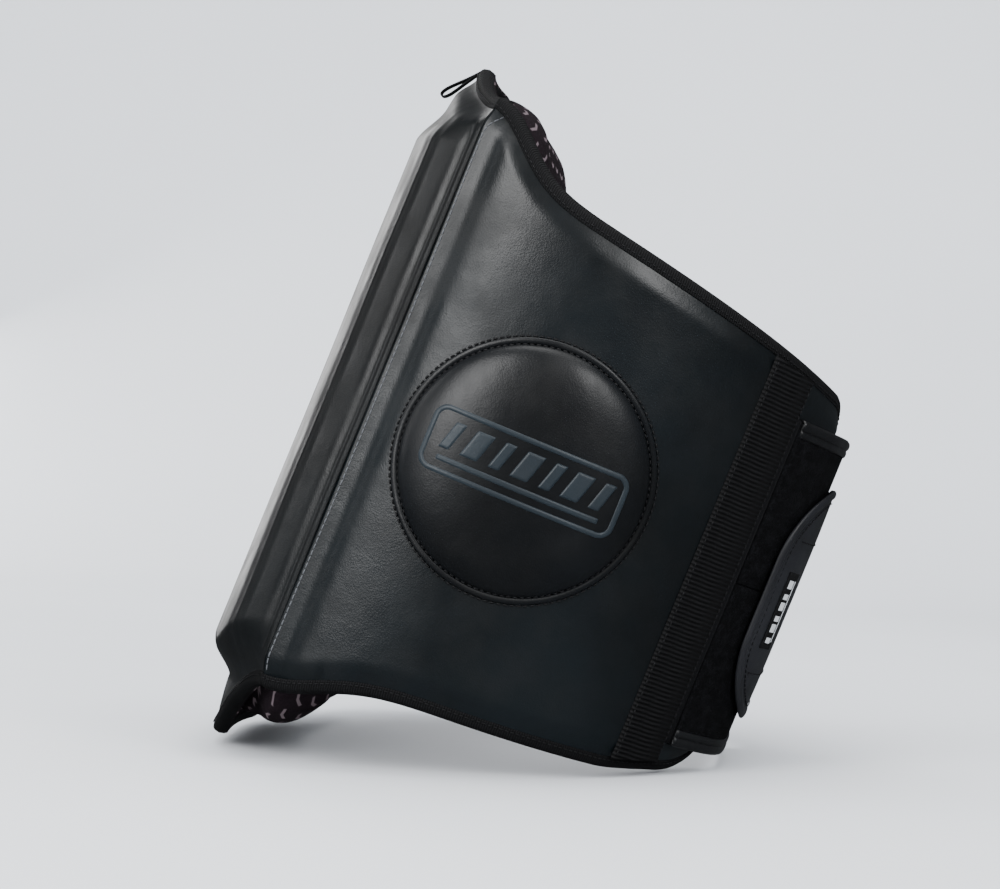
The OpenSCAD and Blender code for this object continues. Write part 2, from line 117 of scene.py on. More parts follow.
# ---- Small maths ----
def smooth(t):
    t = np.clip(t, 0.0, 1.0)
    return t * t * (3 - 2 * t)


def bell(x, width):
    return np.exp(-((x / width) ** 2))


def stack(x, y, z):
    return np.stack(np.broadcast_arrays(x, y, z), axis=-1)


def place(points):
    """Worn millimetres to row-frame metres."""
    p = np.asarray(points, float) / 1000
    c, s = math.cos(LEAN), math.sin(LEAN)
    return stack(p[..., 0], p[..., 1] * c + p[..., 2] * s, p[..., 2] * c - p[..., 1] * s) + ORIGIN


# ---- Surfaces of the shield ----
def closure(s, z, off, side=1):
    """Point at distance s along the outside, from the sideways direction round to the rear."""
    s, off = np.broadcast_arrays(np.asarray(s, float), off)
    near = np.minimum(s, 2 * HALF_S - s)
    on_ring = near <= LEAVE_S
    on_bend = ~on_ring & (near <= REAR_S)
    angle = np.where(
        on_ring,
        near / RING_R,
        np.where(
            on_bend,
            LEAVE_ANGLE + (near - LEAVE_S) / LEAVE_R,
            math.pi / 2 - REAR_TURN + (near - REAR_S) / REAR_R,
        ),
    )
    radius = np.where(on_ring, RING_R, np.where(on_bend, LEAVE_R, REAR_R)) + off
    cx = np.where(on_ring, 0, np.where(on_bend, LEAVE_C[0], REAR_C[0]))
    cy = np.where(on_ring, 0, np.where(on_bend, LEAVE_C[1], REAR_C[1]))
    x = cx + radius * np.cos(angle)
    flip = np.where(s > HALF_S, -side, side)
    return stack(x * flip, cy + radius * np.sin(angle), z)


def mitre_point(centre_y, radius, gap):
    """Where the mitre line between the front and a side panel crosses a circle."""
    d = np.array([math.cos(MITRE), math.sin(MITRE)])
    n = np.array([math.sin(MITRE), -math.cos(MITRE)])
    q = np.array([SEAM_X, SEAM_Y - centre_y]) + gap * n
    b = q @ d
    return q + np.multiply.outer(-b - np.sqrt(b * b - q @ q + radius**2), d)


def side_surface(s, z, off, side=1):
    """Side panel: s runs from SEAM_S to END_S whatever the offset, and starts on the mitre."""
    s, z, off = np.broadcast_arrays(np.asarray(s, float), z, off)
    start = mitre_point(0.0, RING_R + off, MITRE_GAP)
    start_s = RING_R * np.arctan2(start[..., 1], start[..., 0])
    stretch = (END_S - start_s) / (END_S - SEAM_S)
    return closure(END_S - (END_S - s) * stretch, z, off, side)


def front_surface(u, z, off):
    """Front panel: u runs from -1 at the right seam to 1 at the left seam."""
    u, z, off = np.broadcast_arrays(np.asarray(u, float), z, off)
    end = mitre_point(FRONT_CY, FRONT_R + off, -MITRE_GAP)
    angle = u * np.arctan2(end[..., 0], -end[..., 1])
    radius = FRONT_R + off
    return stack(radius * np.sin(angle), FRONT_CY - radius * np.cos(angle), z)


# ---- Outlines ----
SIDE_TOP_Z, SIDE_TOP_SLOPE, SIDE_TOP_SWOOP, SIDE_TOP_REACH = 174.5, 0.18, 31.0, 40.0
SIDE_BOTTOM_Z, SIDE_BOTTOM_SLOPE, SIDE_BOTTOM_SWOOP, SIDE_BOTTOM_REACH = -151.2, 0.041, 22.0, 50.0
TAIL_RISE, TAIL_START, TAIL_RUN = 5.0, 220.0, 60.0
SHOULDER_X, TOP_SHOULDER, BOTTOM_SHOULDER = 50.0, 24.0, 56.0


def side_run(s):
    return np.maximum(0, s - SEAM_S)


def side_top(s):
    t = side_run(s)
    return SIDE_TOP_Z - SIDE_TOP_SLOPE * t + SIDE_TOP_SWOOP * bell(t, SIDE_TOP_REACH)


def side_bottom(s):
    t = side_run(s)
    line = SIDE_BOTTOM_SLOPE * t + SIDE_BOTTOM_Z - SIDE_BOTTOM_SWOOP * bell(t, SIDE_BOTTOM_REACH)
    return line + TAIL_RISE * smooth((t - TAIL_START) / TAIL_RUN)


def corner_drop(r, s):
    return r - np.sqrt(np.maximum(0, r * r - np.maximum(0, s) ** 2))


def side_hi(s, inset=0.0):
    return side_top(s) - inset - corner_drop(TOP_CORNER - inset, s - END_S + TOP_CORNER)


def side_lo(s, inset=0.0):
    return side_bottom(s) + inset + corner_drop(BOTTOM_CORNER - inset, s - END_S + BOTTOM_CORNER)


def front_shoulder(u):
    return smooth((np.abs(u) * SEAM_X - SHOULDER_X) / (SEAM_X - SHOULDER_X))


def front_hi(u):
    return FRONT_H - TOP_SHOULDER * front_shoulder(u)


def front_lo(u):
    return BOTTOM_SHOULDER * front_shoulder(u) - FRONT_H


def side_edge(s, z):
    """Distance of a point on a side panel from the nearer of its top and bottom edges."""
    return np.minimum(side_hi(s) - z, z - side_lo(s))


def dense_u(n, half=1.0):
    """Places across the front, closer together at the seams."""
    return half * np.sin(np.linspace(-math.pi / 2, math.pi / 2, n))


# ---- Meshes ----
def build(name, verts, faces, uvs=None, shaded_smooth=True):
    mesh = bpy.data.meshes.new(name)
    mesh.from_pydata(verts.tolist(), [], faces)
    mesh.validate()
    if uvs is not None:
        layer = mesh.uv_layers.new(name="UVMap")
        index = np.zeros(len(mesh.loops), np.int32)
        mesh.loops.foreach_get("vertex_index", index)
        layer.data.foreach_set("uv", np.asarray(uvs, np.float32)[index].ravel())
    mesh.polygons.foreach_set("use_smooth", [shaded_smooth] * len(mesh.polygons))
    obj = bpy.data.objects.new(name, mesh)
    bpy.context.scene.collection.objects.link(obj)
    return obj


def face_outwards(obj):
    b = bmesh.new()
    b.from_mesh(obj.data)
    bmesh.ops.recalc_face_normals(b, faces=b.faces)
    b.to_mesh(obj.data)
    b.free()
    return obj


def quads(m, n, base=0, wrap_m=False, wrap_n=False):
    faces = []
    for i in range(m if wrap_m else m - 1):
        for j in range(n if wrap_n else n - 1):
            a, b = i * n + j, i * n + (j + 1) % n
            c, d = ((i + 1) % m) * n + (j + 1) % n, ((i + 1) % m) * n + j
            faces.append((base + a, base + b, base + c, base + d))
    return faces


def sheet_faces(m, n):
    """Faces of a closed sheet: two grids of m by n points, one after the other, joined round their rim."""
    back = m * n
    faces = quads(m, n) + [f[::-1] for f in quads(m, n, back)]
    rim = [*range(n), *range(2 * n - 1, back, n)]
    rim += [*range(back - 2, back - n - 1, -1), *range(back - 2 * n, 0, -n)]
    return faces + [(b, a, a + back, b + back) for a, b in zip(rim, rim[1:] + rim[:1])]


def slab(name, outer, inner, uv):
    """Closed sheet between two grids of points of the same shape."""
    verts = np.concatenate([place(outer).reshape(-1, 3), place(inner).reshape(-1, 3)])
    uvs = np.concatenate([uv.reshape(-1, 2)] * 2)
    return face_outwards(build(name, verts, sheet_faces(*outer.shape[:2]), uvs))


def sweep(name, sections, closed=False, along=None):
    """Closed skin through sections of shape (stations, points, 3)."""
    m, n = sections.shape[:2]
    verts = place(sections).reshape(-1, 3)
    faces = quads(m, n, wrap_m=closed, wrap_n=True)
    if not closed:
        faces += [tuple(range(n - 1, -1, -1)), tuple((m - 1) * n + j for j in range(n))]
    if along is None:
        step = np.linalg.norm(np.diff(sections.mean(1), axis=0), axis=1)
        along = np.concatenate([[0], np.cumsum(step)])
    middle = sections[m // 2]
    girth = np.linalg.norm(np.diff(middle, axis=0, append=middle[:1]), axis=1)
    across = np.concatenate([[0], np.cumsum(girth)[:-1]])
    uv = np.stack(np.meshgrid(along, across, indexing="ij"), -1).reshape(-1, 2)
    return face_outwards(build(name, verts, faces, uv))


def grid_uv(a, b):
    return np.stack(np.broadcast_arrays(a, b), -1)


def join_meshes(name, parts):
    """One object from (verts in millimetres, faces) pairs."""
    verts, faces, base = [], [], 0
    for v, f in parts:
        verts.append(place(v))
        faces += [tuple(base + i for i in face) for face in f]
        base += len(v)
    return face_outwards(build(name, np.concatenate(verts), faces))


STITCH_RING = 6


def stitches(name, path, normals, length, pitch, radius, lift):
    """Row of sewn stitches along a path of points, each one a short thread that dips at both ends."""
    step = np.linalg.norm(np.diff(path, axis=0), axis=1)
    run = np.concatenate([[0], np.cumsum(step)])
    count = max(1, int(run[-1] / pitch))

    def along(values, at):
        return np.array([np.interp(at, run, values[:, i]) for i in range(3)])

    parts = []
    shape = np.array([[-0.5, 0.35], [-0.38, 0.85], [0.0, 1.0], [0.38, 0.85], [0.5, 0.35]])
    turn = np.linspace(0, 2 * math.pi, STITCH_RING, endpoint=False)
    for k in range(count):
        mid = (k + 0.5) * run[-1] / count
        verts = []
        for t, fat in shape:
            at = mid + t * length
            n = along(normals, at)
            n /= np.linalg.norm(n)
            d = along(path, at + 0.5) - along(path, at - 0.5)
            d /= np.linalg.norm(d)
            w = np.cross(d, n)
            centre = along(path, at) + n * (lift + radius * (fat - 1) * 0.8)
            verts += [centre + radius * fat * (math.cos(a) * w + math.sin(a) * n) for a in turn]
        faces = quads(len(shape), STITCH_RING, wrap_n=True)
        faces += [tuple(range(STITCH_RING - 1, -1, -1))]
        faces += [tuple((len(shape) - 1) * STITCH_RING + j for j in range(STITCH_RING))]
        parts.append((np.array(verts), faces))
    return join_meshes(name, parts)


def surface_path(surface, a, z, off, *side):
    """Points and outward normals along a line on a surface."""
    p = surface(a, z, off, *side)
    n = surface(a, z, off + 1.0, *side) - p
    return p, n / np.linalg.norm(n, axis=1, keepdims=True)


# ---- Materials ----
class Nodes:
    """Short hand for building one material's node tree."""

    def __init__(self, name):
        self.mat = bpy.data.materials.new(name)
        self.mat.use_nodes = True
        self.tree = self.mat.node_tree
        self.bsdf = self.tree.nodes["Principled BSDF"]
        self.coord = self.tree.nodes.new("ShaderNodeTexCoord")

    def link(self, a, b):
        self.tree.links.new(a, b)

    def place(self, source="Object"):
        return self.coord.outputs[source]

    def noise(self, vector, scale, detail=3.0, rough=0.5):
        n = self.tree.nodes.new("ShaderNodeTexNoise")
        n.inputs["Scale"].default_value = scale
        n.inputs["Detail"].default_value = detail
        n.inputs["Roughness"].default_value = rough
        self.link(vector, n.inputs["Vector"])
        return n.outputs["Fac"]

    def cells(self, vector, scale, feature="F1"):
        n = self.tree.nodes.new("ShaderNodeTexVoronoi")
        n.feature = feature
        n.inputs["Scale"].default_value = scale
        self.link(vector, n.inputs["Vector"])
        return n.outputs["Distance"]

    def math(self, kind, a, b=0.0):
        n = self.tree.nodes.new("ShaderNodeMath")
        n.operation = kind
        for i, v in enumerate((a, b)):
            if isinstance(v, (int, float)):
                n.inputs[i].default_value = v
            else:
                self.link(v, n.inputs[i])
        return n.outputs[0]

    def wave(self, value, pitch):
        return self.math("SINE", self.math("MULTIPLY", value, 2 * math.pi / pitch))

    def run_and_across(self):
        """The two directions of the UV map, which holds millimetres."""
        n = self.tree.nodes.new("ShaderNodeSeparateXYZ")
        self.link(self.place("UV"), n.inputs[0])
        return n.outputs[0], n.outputs[1]

    def span(self, value, lo, hi, out_lo=0.0, out_hi=1.0):
        n = self.tree.nodes.new("ShaderNodeMapRange")
        n.interpolation_type = "SMOOTHSTEP"
        for key, v in zip(("From Min", "From Max", "To Min", "To Max"), (lo, hi, out_lo, out_hi)):
            n.inputs[key].default_value = v
        self.link(value, n.inputs["Value"])
        return n.outputs["Result"]

    def mix(self, fac, a, b):
        n = self.tree.nodes.new("ShaderNodeMix")
        n.data_type = "RGBA"
        self.link(fac, n.inputs["Factor"])
        for key, v in (("A", a), ("B", b)):
            socket = next(i for i in n.inputs if i.name == key and i.type == "RGBA")
            if isinstance(v, tuple):
                socket.default_value = (*v, 1)
            else:
                self.link(v, socket)
        return next(o for o in n.outputs if o.type == "RGBA")

    def bump(self, height, depth, strength=1.0, under=None):
        n = self.tree.nodes.new("ShaderNodeBump")
        n.inputs["Distance"].default_value = depth
        n.inputs["Strength"].default_value = strength
        self.link(height, n.inputs["Height"])
        if under is not None:
            self.link(under, n.inputs["Normal"])
        return n.outputs["Normal"]

    def done(self, color, rough, normal=None, specular=0.5):
        self.link(color, self.bsdf.inputs["Base Color"])
        if isinstance(rough, float):
            self.bsdf.inputs["Roughness"].default_value = rough
        else:
            self.link(rough, self.bsdf.inputs["Roughness"])
        if normal is not None:
            self.link(normal, self.bsdf.inputs["Normal"])
        self.bsdf.inputs["Specular IOR Level"].default_value = specular
        return self.mat


def scaled(color, k):
    return tuple(c * k for c in color)


def leather(name, color, rough=0.4, grain=900, depth=0.00006, cloudy=0.35):
    """Synthetic leather: fine cell grain, a slow change of tone and faint rubbed patches."""
    n = Nodes(name)
    v = n.place()
    tone = n.noise(v, 9, 4)
    col = n.mix(n.span(tone, 0.3, 0.7), scaled(color, 1 - cloudy), scaled(color, 1 + cloudy))
    grain_h = n.cells(v, grain)
    pores = n.noise(v, 2600, 2)
    height = n.math("ADD", grain_h, n.math("MULTIPLY", pores, 0.5))
    soft = n.noise(v, 55, 3)
    rub = n.span(n.noise(v, 30, 5), 0.35, 0.75, rough - 0.05, rough + 0.09)
    waves = n.bump(soft, 0.0011, 0.30)
    return n.done(col, rub, n.bump(height, depth, 0.8, waves))


def ribbed_tape(name, color, pitch, depth=0.00025, rough=0.75):
    """Ribbed tape: ribs across its length from the run in the UV map, over a fine yarn texture."""
    n = Nodes(name)
    run, across = n.run_and_across()
    rib = n.span(n.wave(run, pitch), -1, 1)
    yarn = n.noise(n.place(), 2200, 3)
    cross = n.wave(across, 0.9)
    height = n.math("ADD", rib, n.math("MULTIPLY", n.math("ADD", yarn, cross), 0.18))
    # The colour darkens in the grooves between the ribs and lightens on their crests: painted shade and
    # painted highlight.
    col = n.mix(rib, scaled(color, 0.45), scaled(color, 1.5))
    return n.done(col, rough, n.bump(height, depth, 0.9), specular=0.2)


def woven(name, color, pitch=1.1, depth=0.0002, rough=0.85, contrast=0.5):
    """Plain weave from the UV map."""
    n = Nodes(name)
    run, across = n.run_and_across()
    cloth = n.math("MULTIPLY", n.wave(run, pitch), n.wave(across, pitch))
    fuzz = n.noise(n.place(), 1500, 4)
    height = n.math("ADD", cloth, fuzz)
    # The colour darkens in the dips of the weave and lightens on its raised yarns: painted shade and painted
    # highlight, with random tone from the fuzz.
    col = n.mix(n.span(height, -0.6, 1.5), scaled(color, 1 - contrast), scaled(color, 1 + contrast))
    return n.done(col, rough, n.bump(height, depth, 0.8), specular=0.2)


def pile(name, color):
    """Short looped pile: soft tufts, with painted shade in the hollows between them."""
    n = Nodes(name)
    v = n.place()
    tufts = n.cells(v, 850, "SMOOTH_F1")
    fluff = n.noise(v, 1400, 5, 0.7)
    clumps = n.noise(v, 160, 4)
    height = n.math("ADD", n.math("MULTIPLY", fluff, 1.2), n.math("SUBTRACT", 1.0, tufts))
    # Colour runs from dark in the hollows to bright on the tufts: painted shade and painted highlight, with
    # random tone from the clumps.
    col = n.mix(n.span(n.math("ADD", height, clumps), 1.4, 2.6), scaled(color, 0.35), scaled(color, 2.1))
    return n.done(col, 0.95, n.bump(height, 0.0007, 0.9), specular=0.12)


MARK_PITCH = 18.0
MARK_ROW = 0.62 * MARK_PITCH
MARK_SLOPE = 0.45


def lining(name, color, mark):
    """Knitted lining with small staggered two-stroke marks."""
    n = Nodes(name)
    run, across = n.run_and_across()
    column, row = n.math("DIVIDE", run, MARK_PITCH), n.math("DIVIDE", across, MARK_ROW)
    odd = n.math("MODULO", n.math("ABSOLUTE", n.math("FLOOR", row)), 2.0)
    fx = n.math("FRACT", n.math("ADD", column, n.math("MULTIPLY", odd, 0.5)))
    x = n.math("MULTIPLY", n.math("SUBTRACT", fx, 0.5), MARK_PITCH)
    y = n.math("MULTIPLY", n.math("SUBTRACT", n.math("FRACT", row), 0.5), MARK_ROW)
    bend = n.math("ABSOLUTE", x)
    stroke = n.math("ABSOLUTE", n.math("SUBTRACT", y, n.math("MULTIPLY", bend, MARK_SLOPE)))
    inside = n.math("MULTIPLY", n.span(stroke, 0.9, 1.5, 1, 0), n.span(bend, 4.3, 5.0, 1, 0))
    knit = n.noise(n.place(), 1300, 4, 0.7)
    ground = n.mix(n.span(knit, 0.3, 0.7), scaled(color, 0.6), scaled(color, 1.5))
    col = n.mix(inside, ground, mark)
    height = n.math("ADD", knit, n.math("MULTIPLY", inside, 0.5))
    return n.done(col, 0.9, n.bump(height, 0.0003, 0.7), specular=0.15)


def thread(name, color):
    n = Nodes(name)
    twist = n.noise(n.place(), 3000, 2)
    col = n.mix(n.span(twist, 0.3, 0.7), scaled(color, 0.7), scaled(color, 1.25))
    return n.done(col, 0.6, n.bump(twist, 0.0001, 0.6), specular=0.3)


M_LEATHER = leather("leather", (0.0030, 0.0050, 0.0064), 0.37)
M_FRONT = leather("front_leather", (0.0028, 0.0037, 0.0043), 0.38)
M_DOME = leather("dome_leather", (0.0027, 0.0035, 0.0046), 0.40, depth=0.00005)
M_EMBLEM = leather("emblem_leather", (0.011, 0.018, 0.024), 0.45, cloudy=0.15)
M_TAB = leather("tab_leather", (0.0095, 0.0100, 0.0125), 0.45)
M_EDGE = leather("edge_leather", (0.0048, 0.0053, 0.0062), 0.40)
M_TAPE = ribbed_tape("binding_tape", (0.0036, 0.0036, 0.0042), 1.5)
M_WEBBING = ribbed_tape("webbing", (0.0036, 0.0036, 0.0041), 2.7, 0.0003, 0.7)
M_RIBBON = ribbed_tape("loop_ribbon", (0.006, 0.006, 0.007), 1.0, 0.0002)
M_PILE = pile("loop_pile", (0.0036, 0.0036, 0.0046))
M_HOOK = pile("hook_tape", (0.004, 0.004, 0.0045))
M_BACKING = woven("strap_fabric", (0.005, 0.005, 0.006))
M_ELASTIC = ribbed_tape("elastic", (0.005, 0.005, 0.006), 1.3, 0.0002)
M_LABEL = woven("label", (0.005, 0.005, 0.0055), 0.6, 0.0001)
M_PRINT = woven("label_print", (0.42, 0.43, 0.44), 0.5, 0.0001, contrast=0.12)
M_LINING = lining("lining", (0.0085, 0.0045, 0.0068), (0.105, 0.080, 0.088))
M_THREAD = thread("black_thread", (0.006, 0.006, 0.007))
M_LIGHT_THREAD = thread("light_thread", (0.085, 0.088, 0.095))


def finish_piece(obj, material, body, slot, *nodes):
    """Material, body and the CAD nodes that the piece stands for; slot is not used."""
    obj.data.materials.append(material)
    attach(obj, body)
    if nodes:
        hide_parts(*nodes)


def stitch_row(name, body, slot, line, length=2.8, pitch=3.8, radius=0.42, lift=0.12, cord=M_THREAD):
    """Stitches along the points and normals in line."""
    finish_piece(stitches(name, *line, length, pitch, radius, lift), cord, body, slot)


# ---- Side panels ----
SIDE_NAMES = {1: "left", -1: "right"}
LEATHER_T = 1.5
LINING_T = 1.5
# How far the tape rolls the outer skin down and squeezes the inner skin up, and over what reach
SIDE_ROLL, ROLL_REACH = 5.0, 22.0
SIDE_SQUEEZE, SQUEEZE_REACH = 8.0, 26.0
# The rear corners count as nearer to the edge than they are
REAR_SHARE = 1.4


def ripple(a, b, seed, amount):
    """Slow uneven waves in a soft sheet."""
    rng = np.random.default_rng(seed)
    total = np.zeros(np.broadcast(a, b).shape)
    for _ in range(7):
        k = rng.uniform(-1, 1, 2) * 0.045
        total = total + np.sin(a * k[0] + b * k[1] + rng.uniform(0, 6.28))
    return amount * total / 7


def side_roll(s, z):
    """How far the outer skin has rolled down towards the panel's edge."""
    edge = np.minimum(side_edge(s, z), REAR_SHARE * (END_S - s))
    start = 0.12
    return SIDE_ROLL * (1 - smooth(edge / ROLL_REACH + start)) / (1 - smooth(start))


def side_squeeze(s, z):
    """How far the inner skin rises towards the panel's edge, where the tape squeezes the foam."""
    edge = np.minimum(side_edge(s, z), REAR_SHARE * (END_S - s))
    return SIDE_SQUEEZE * (1 - smooth(edge / SQUEEZE_REACH))


def side_offset(s, z):
    """Outer skin of a side panel: rolled down to its edges, with a valley beside the seam."""
    tuck = -side_roll(s, z)
    valley = -2.4 * bell(s - SEAM_S - 10, 9.0)
    pleat = -1.6 * bell(s + 55, 2.4) * bell(z - side_lo(s) - 9, 5)
    return tuck + valley + pleat + ripple(s, z, 3, 0.45)


def side_cover(side):
    name = SIDE_NAMES[side]
    s = np.concatenate([
        np.linspace(SEAM_S, SEAM_S + 40, 36, endpoint=False),
        np.linspace(SEAM_S + 40, END_S - 56, 90, endpoint=False),
        END_S - 56 + 55.6 * np.sin(np.linspace(0, math.pi / 2, 30)),
    ])[:, None]
    t = (0.5 - 0.5 * np.cos(np.linspace(0, math.pi, 121)))[None, :]
    t = 0.5 * t + 0.5 * np.linspace(0, 1, 121)[None, :]
    z = side_lo(s) + (side_hi(s) - side_lo(s)) * t
    off = side_offset(s, z)
    outer = side_surface(s, z, off, side)
    inner = side_surface(s, z, off - LEATHER_T, side)
    cover = slab(f"{name}_leather", outer, inner, grid_uv(s, z))
    finish_piece(cover, M_LEATHER, f"{name}_side", "leather", f"{name}_cover", f"{name}_core")


def side_lining(side):
    name = SIDE_NAMES[side]
    s = np.concatenate([
        np.linspace(SEAM_S, END_S - 56, 70, endpoint=False),
        END_S - 56 + 55.6 * np.sin(np.linspace(0, math.pi / 2, 24)),
    ])[:, None]
    t = np.linspace(0, 1, 70)[None, :]
    z = side_lo(s) + (side_hi(s) - side_lo(s)) * t
    edge = np.minimum(side_edge(s, z), np.minimum(END_S - s, s - SEAM_S + 6))
    puff = -3.2 * smooth(edge / 34) + ripple(s, z, 11, 0.7) * smooth(edge / 10)
    off = SIDE_IN + side_squeeze(s, z) + puff
    inner, outer = side_surface(s, z, off, side), side_surface(s, z, off + LINING_T, side)
    cloth = slab(f"{name}_inner_lining", outer, inner, grid_uv(s, z))
    finish_piece(cloth, M_LINING, f"{name}_side", "lining", f"{name}_lining")


def edge_path(step=2.5):
    """Round a side panel's top, rear and bottom edges: s, z and the direction out of the edge."""
    top_knee, bottom_knee = END_S - TOP_CORNER, END_S - BOTTOM_CORNER
    s1 = np.linspace(SEAM_S, top_knee, int((top_knee - SEAM_S) / step), endpoint=False)
    a1 = np.linspace(math.pi / 2, 0, 14)
    s2 = top_knee + TOP_CORNER * np.cos(a1)
    a2 = np.linspace(0, math.pi / 2, 26)
    s3 = bottom_knee + BOTTOM_CORNER * np.cos(a2)
    s4 = np.linspace(bottom_knee, SEAM_S, int((bottom_knee - SEAM_S) / step) + 1)[1:]
    s = np.concatenate([s1, s2, s3, s4])
    z = np.concatenate([
        side_top(s1),
        side_top(s2) - TOP_CORNER * (1 - np.sin(a1)),
        side_bottom(s3) + BOTTOM_CORNER * (1 - np.sin(a2)),
        side_bottom(s4),
    ])
    ds = np.concatenate([0 * s1, np.cos(a1), np.cos(a2), 0 * s4])
    dz = np.concatenate([0 * s1 + 1, np.sin(a1), -np.sin(a2), 0 * s4 - 1])
    return s, z, ds, dz


def fold_points(inner, outer, width, rise=0.9):
    """Cross-section of a tape folded over an edge: offset, and distance out of the edge."""
    thick = 0.9
    lo, hi = inner - 0.15, outer + 0.15
    base, top = lo - thick, hi + thick
    skin = [(lo - thick * 0.9, -width), (base, 1 - width), (base, -2.5), (base + 0.2, -0.6)]
    skin += [(lo + 0.6, 0.7), (lo + 2.6, 1.2), ((lo + hi) / 2, 1.6), (hi - 2.6, 1.2), (hi - 0.6, 0.7)]
    skin += [(top - 0.2, -0.6), (top + 0.3, -2.5), (top + rise * 0.8, 1 - width), (top + rise - 0.1, -width)]
    back = [(hi + rise - 0.4, -width), (hi, -2.0), (hi - 1.5, 0.2), (lo + 1.5, 0.2), (lo, -2.0), (lo, -width)]
    return np.array(skin + back)


def side_binding(side):
    name = SIDE_NAMES[side]
    s, z, ds, dz = (v[:, None] for v in edge_path())
    off, out = fold_points(SIDE_IN + SIDE_SQUEEZE, -SIDE_ROLL + 0.3, 6.5).T
    points = side_surface(s + out * ds, z + out * dz, off, side)
    tape = sweep(f"{name}_binding_tape", points)
    finish_piece(tape, M_TAPE, f"{name}_side", "binding_tape", f"{name}_binding")
    s, z, ds, dz = edge_path()
    out = -4.2
    line = surface_path(side_surface, s + out * ds, z + out * dz, -SIDE_ROLL + 2.2, side)
    stitch_row(f"{name}_binding_stitches", f"{name}_side", "binding_tape", line, 2.4, 3.6, 0.4)


def dome_height(r):
    """Height of a dome over the leather at distance r from its centre."""
    k = np.clip(r / (DOME_R - 3.5), 0, 1)
    return 0.25 + (DOME_H - 3.2) * np.sqrt(np.maximum(0, 1 - k**5.5)) + 2.6 * (1 - k**2)


def dome_surface(x, y, off, side=1):
    """Point over a side panel at x along the ring and y up from the dome's centre."""
    angle = np.arcsin(np.clip(np.asarray(x, float) / RING_R, -1, 1))
    return closure(DOME_S + RING_R * angle, DOME_Z + y, off, side)


def dome(side):
    name = SIDE_NAMES[side]
    k = np.linspace(0, 1, 60)[:, None]
    r = (DOME_R - 3.2) * np.sin(k * math.pi / 2) + 0.02
    a = np.linspace(0, 2 * math.pi, 144, endpoint=False)[None, :]
    x, y = r * np.cos(a), r * np.sin(a)
    top = dome_height(r) + ripple(x, y, 21, 0.25) * (1 - (r / DOME_R) ** 4)
    outer = place(dome_surface(x, y, top, side))
    inner = place(dome_surface(x, y, 0.0, side))
    m, n = outer.shape[:2]
    verts = np.concatenate([outer.reshape(-1, 3), inner.reshape(-1, 3)])
    faces = quads(m, n, wrap_n=True) + [f[::-1] for f in quads(m, n, m * n, wrap_n=True)]
    faces += [tuple(range(n)), tuple(m * n + j for j in range(n - 1, -1, -1))]
    edge = [(m - 1) * n + j for j in range(n)]
    faces += [(b, a_, a_ + m * n, b + m * n) for a_, b in zip(edge, edge[1:] + edge[:1])]
    uvs = np.tile(np.stack([x, y], -1).reshape(-1, 2), (2, 1))
    pad = face_outwards(build(f"{name}_dome", verts, faces, uvs))
    body = f"{name}_side"
    finish_piece(pad, M_DOME, body, "dome_leather", f"{name}_dome_cover", f"{name}_dome_core")
    ring(f"{name}_welt", DOME_R - 1.2, 1.4, side, M_DOME, body, f"{name}_dome_welt")
    a = np.linspace(0, 2 * math.pi, 240)
    for label, radius, lift in (("inner", DOME_R - 3.6, 1.3), ("outer", DOME_R + 1.6, 0.25)):
        line = surface_path(dome_surface, radius * np.cos(a), radius * np.sin(a), lift, side)
        stitch_row(f"{name}_dome_stitches_{label}", body, "dome_leather", line, 2.8, 4.0, 0.62)


def ring(name, radius, tube, side, material, body, *nodes):
    """Round cord that lies on a side panel."""
    a = np.linspace(0, 2 * math.pi, 180, endpoint=False)[:, None]
    b = np.linspace(0, 2 * math.pi, 12, endpoint=False)[None, :]
    r = radius + 1.5 * tube * np.cos(b)
    cord = sweep(name, dome_surface(r * np.cos(a), r * np.sin(a), 0.6 + 0.8 * tube * np.sin(b), side), True)
    finish_piece(cord, material, body, "dome_leather", *nodes)


def raised_patch(points_of, m, n, rim, height, side):
    """Small raised shape on a dome: points_of maps a unit square to x and y, rim is its soft edge."""
    a = np.linspace(0, 1, m)[:, None]
    b = np.linspace(0, 1, n)[None, :]
    x, y, w, h = points_of(a, b)
    edge = np.minimum(np.minimum(a, 1 - a) * w, np.minimum(b, 1 - b) * h)
    lift = height * smooth(edge / rim) - 0.25
    p = dome_surface(x, y, dome_height(np.hypot(x, y)) + lift, side)
    q = dome_surface(x, y, dome_height(np.hypot(x, y)) - 0.6, side)
    return np.concatenate([p.reshape(-1, 3), q.reshape(-1, 3)]), sheet_faces(m, n)


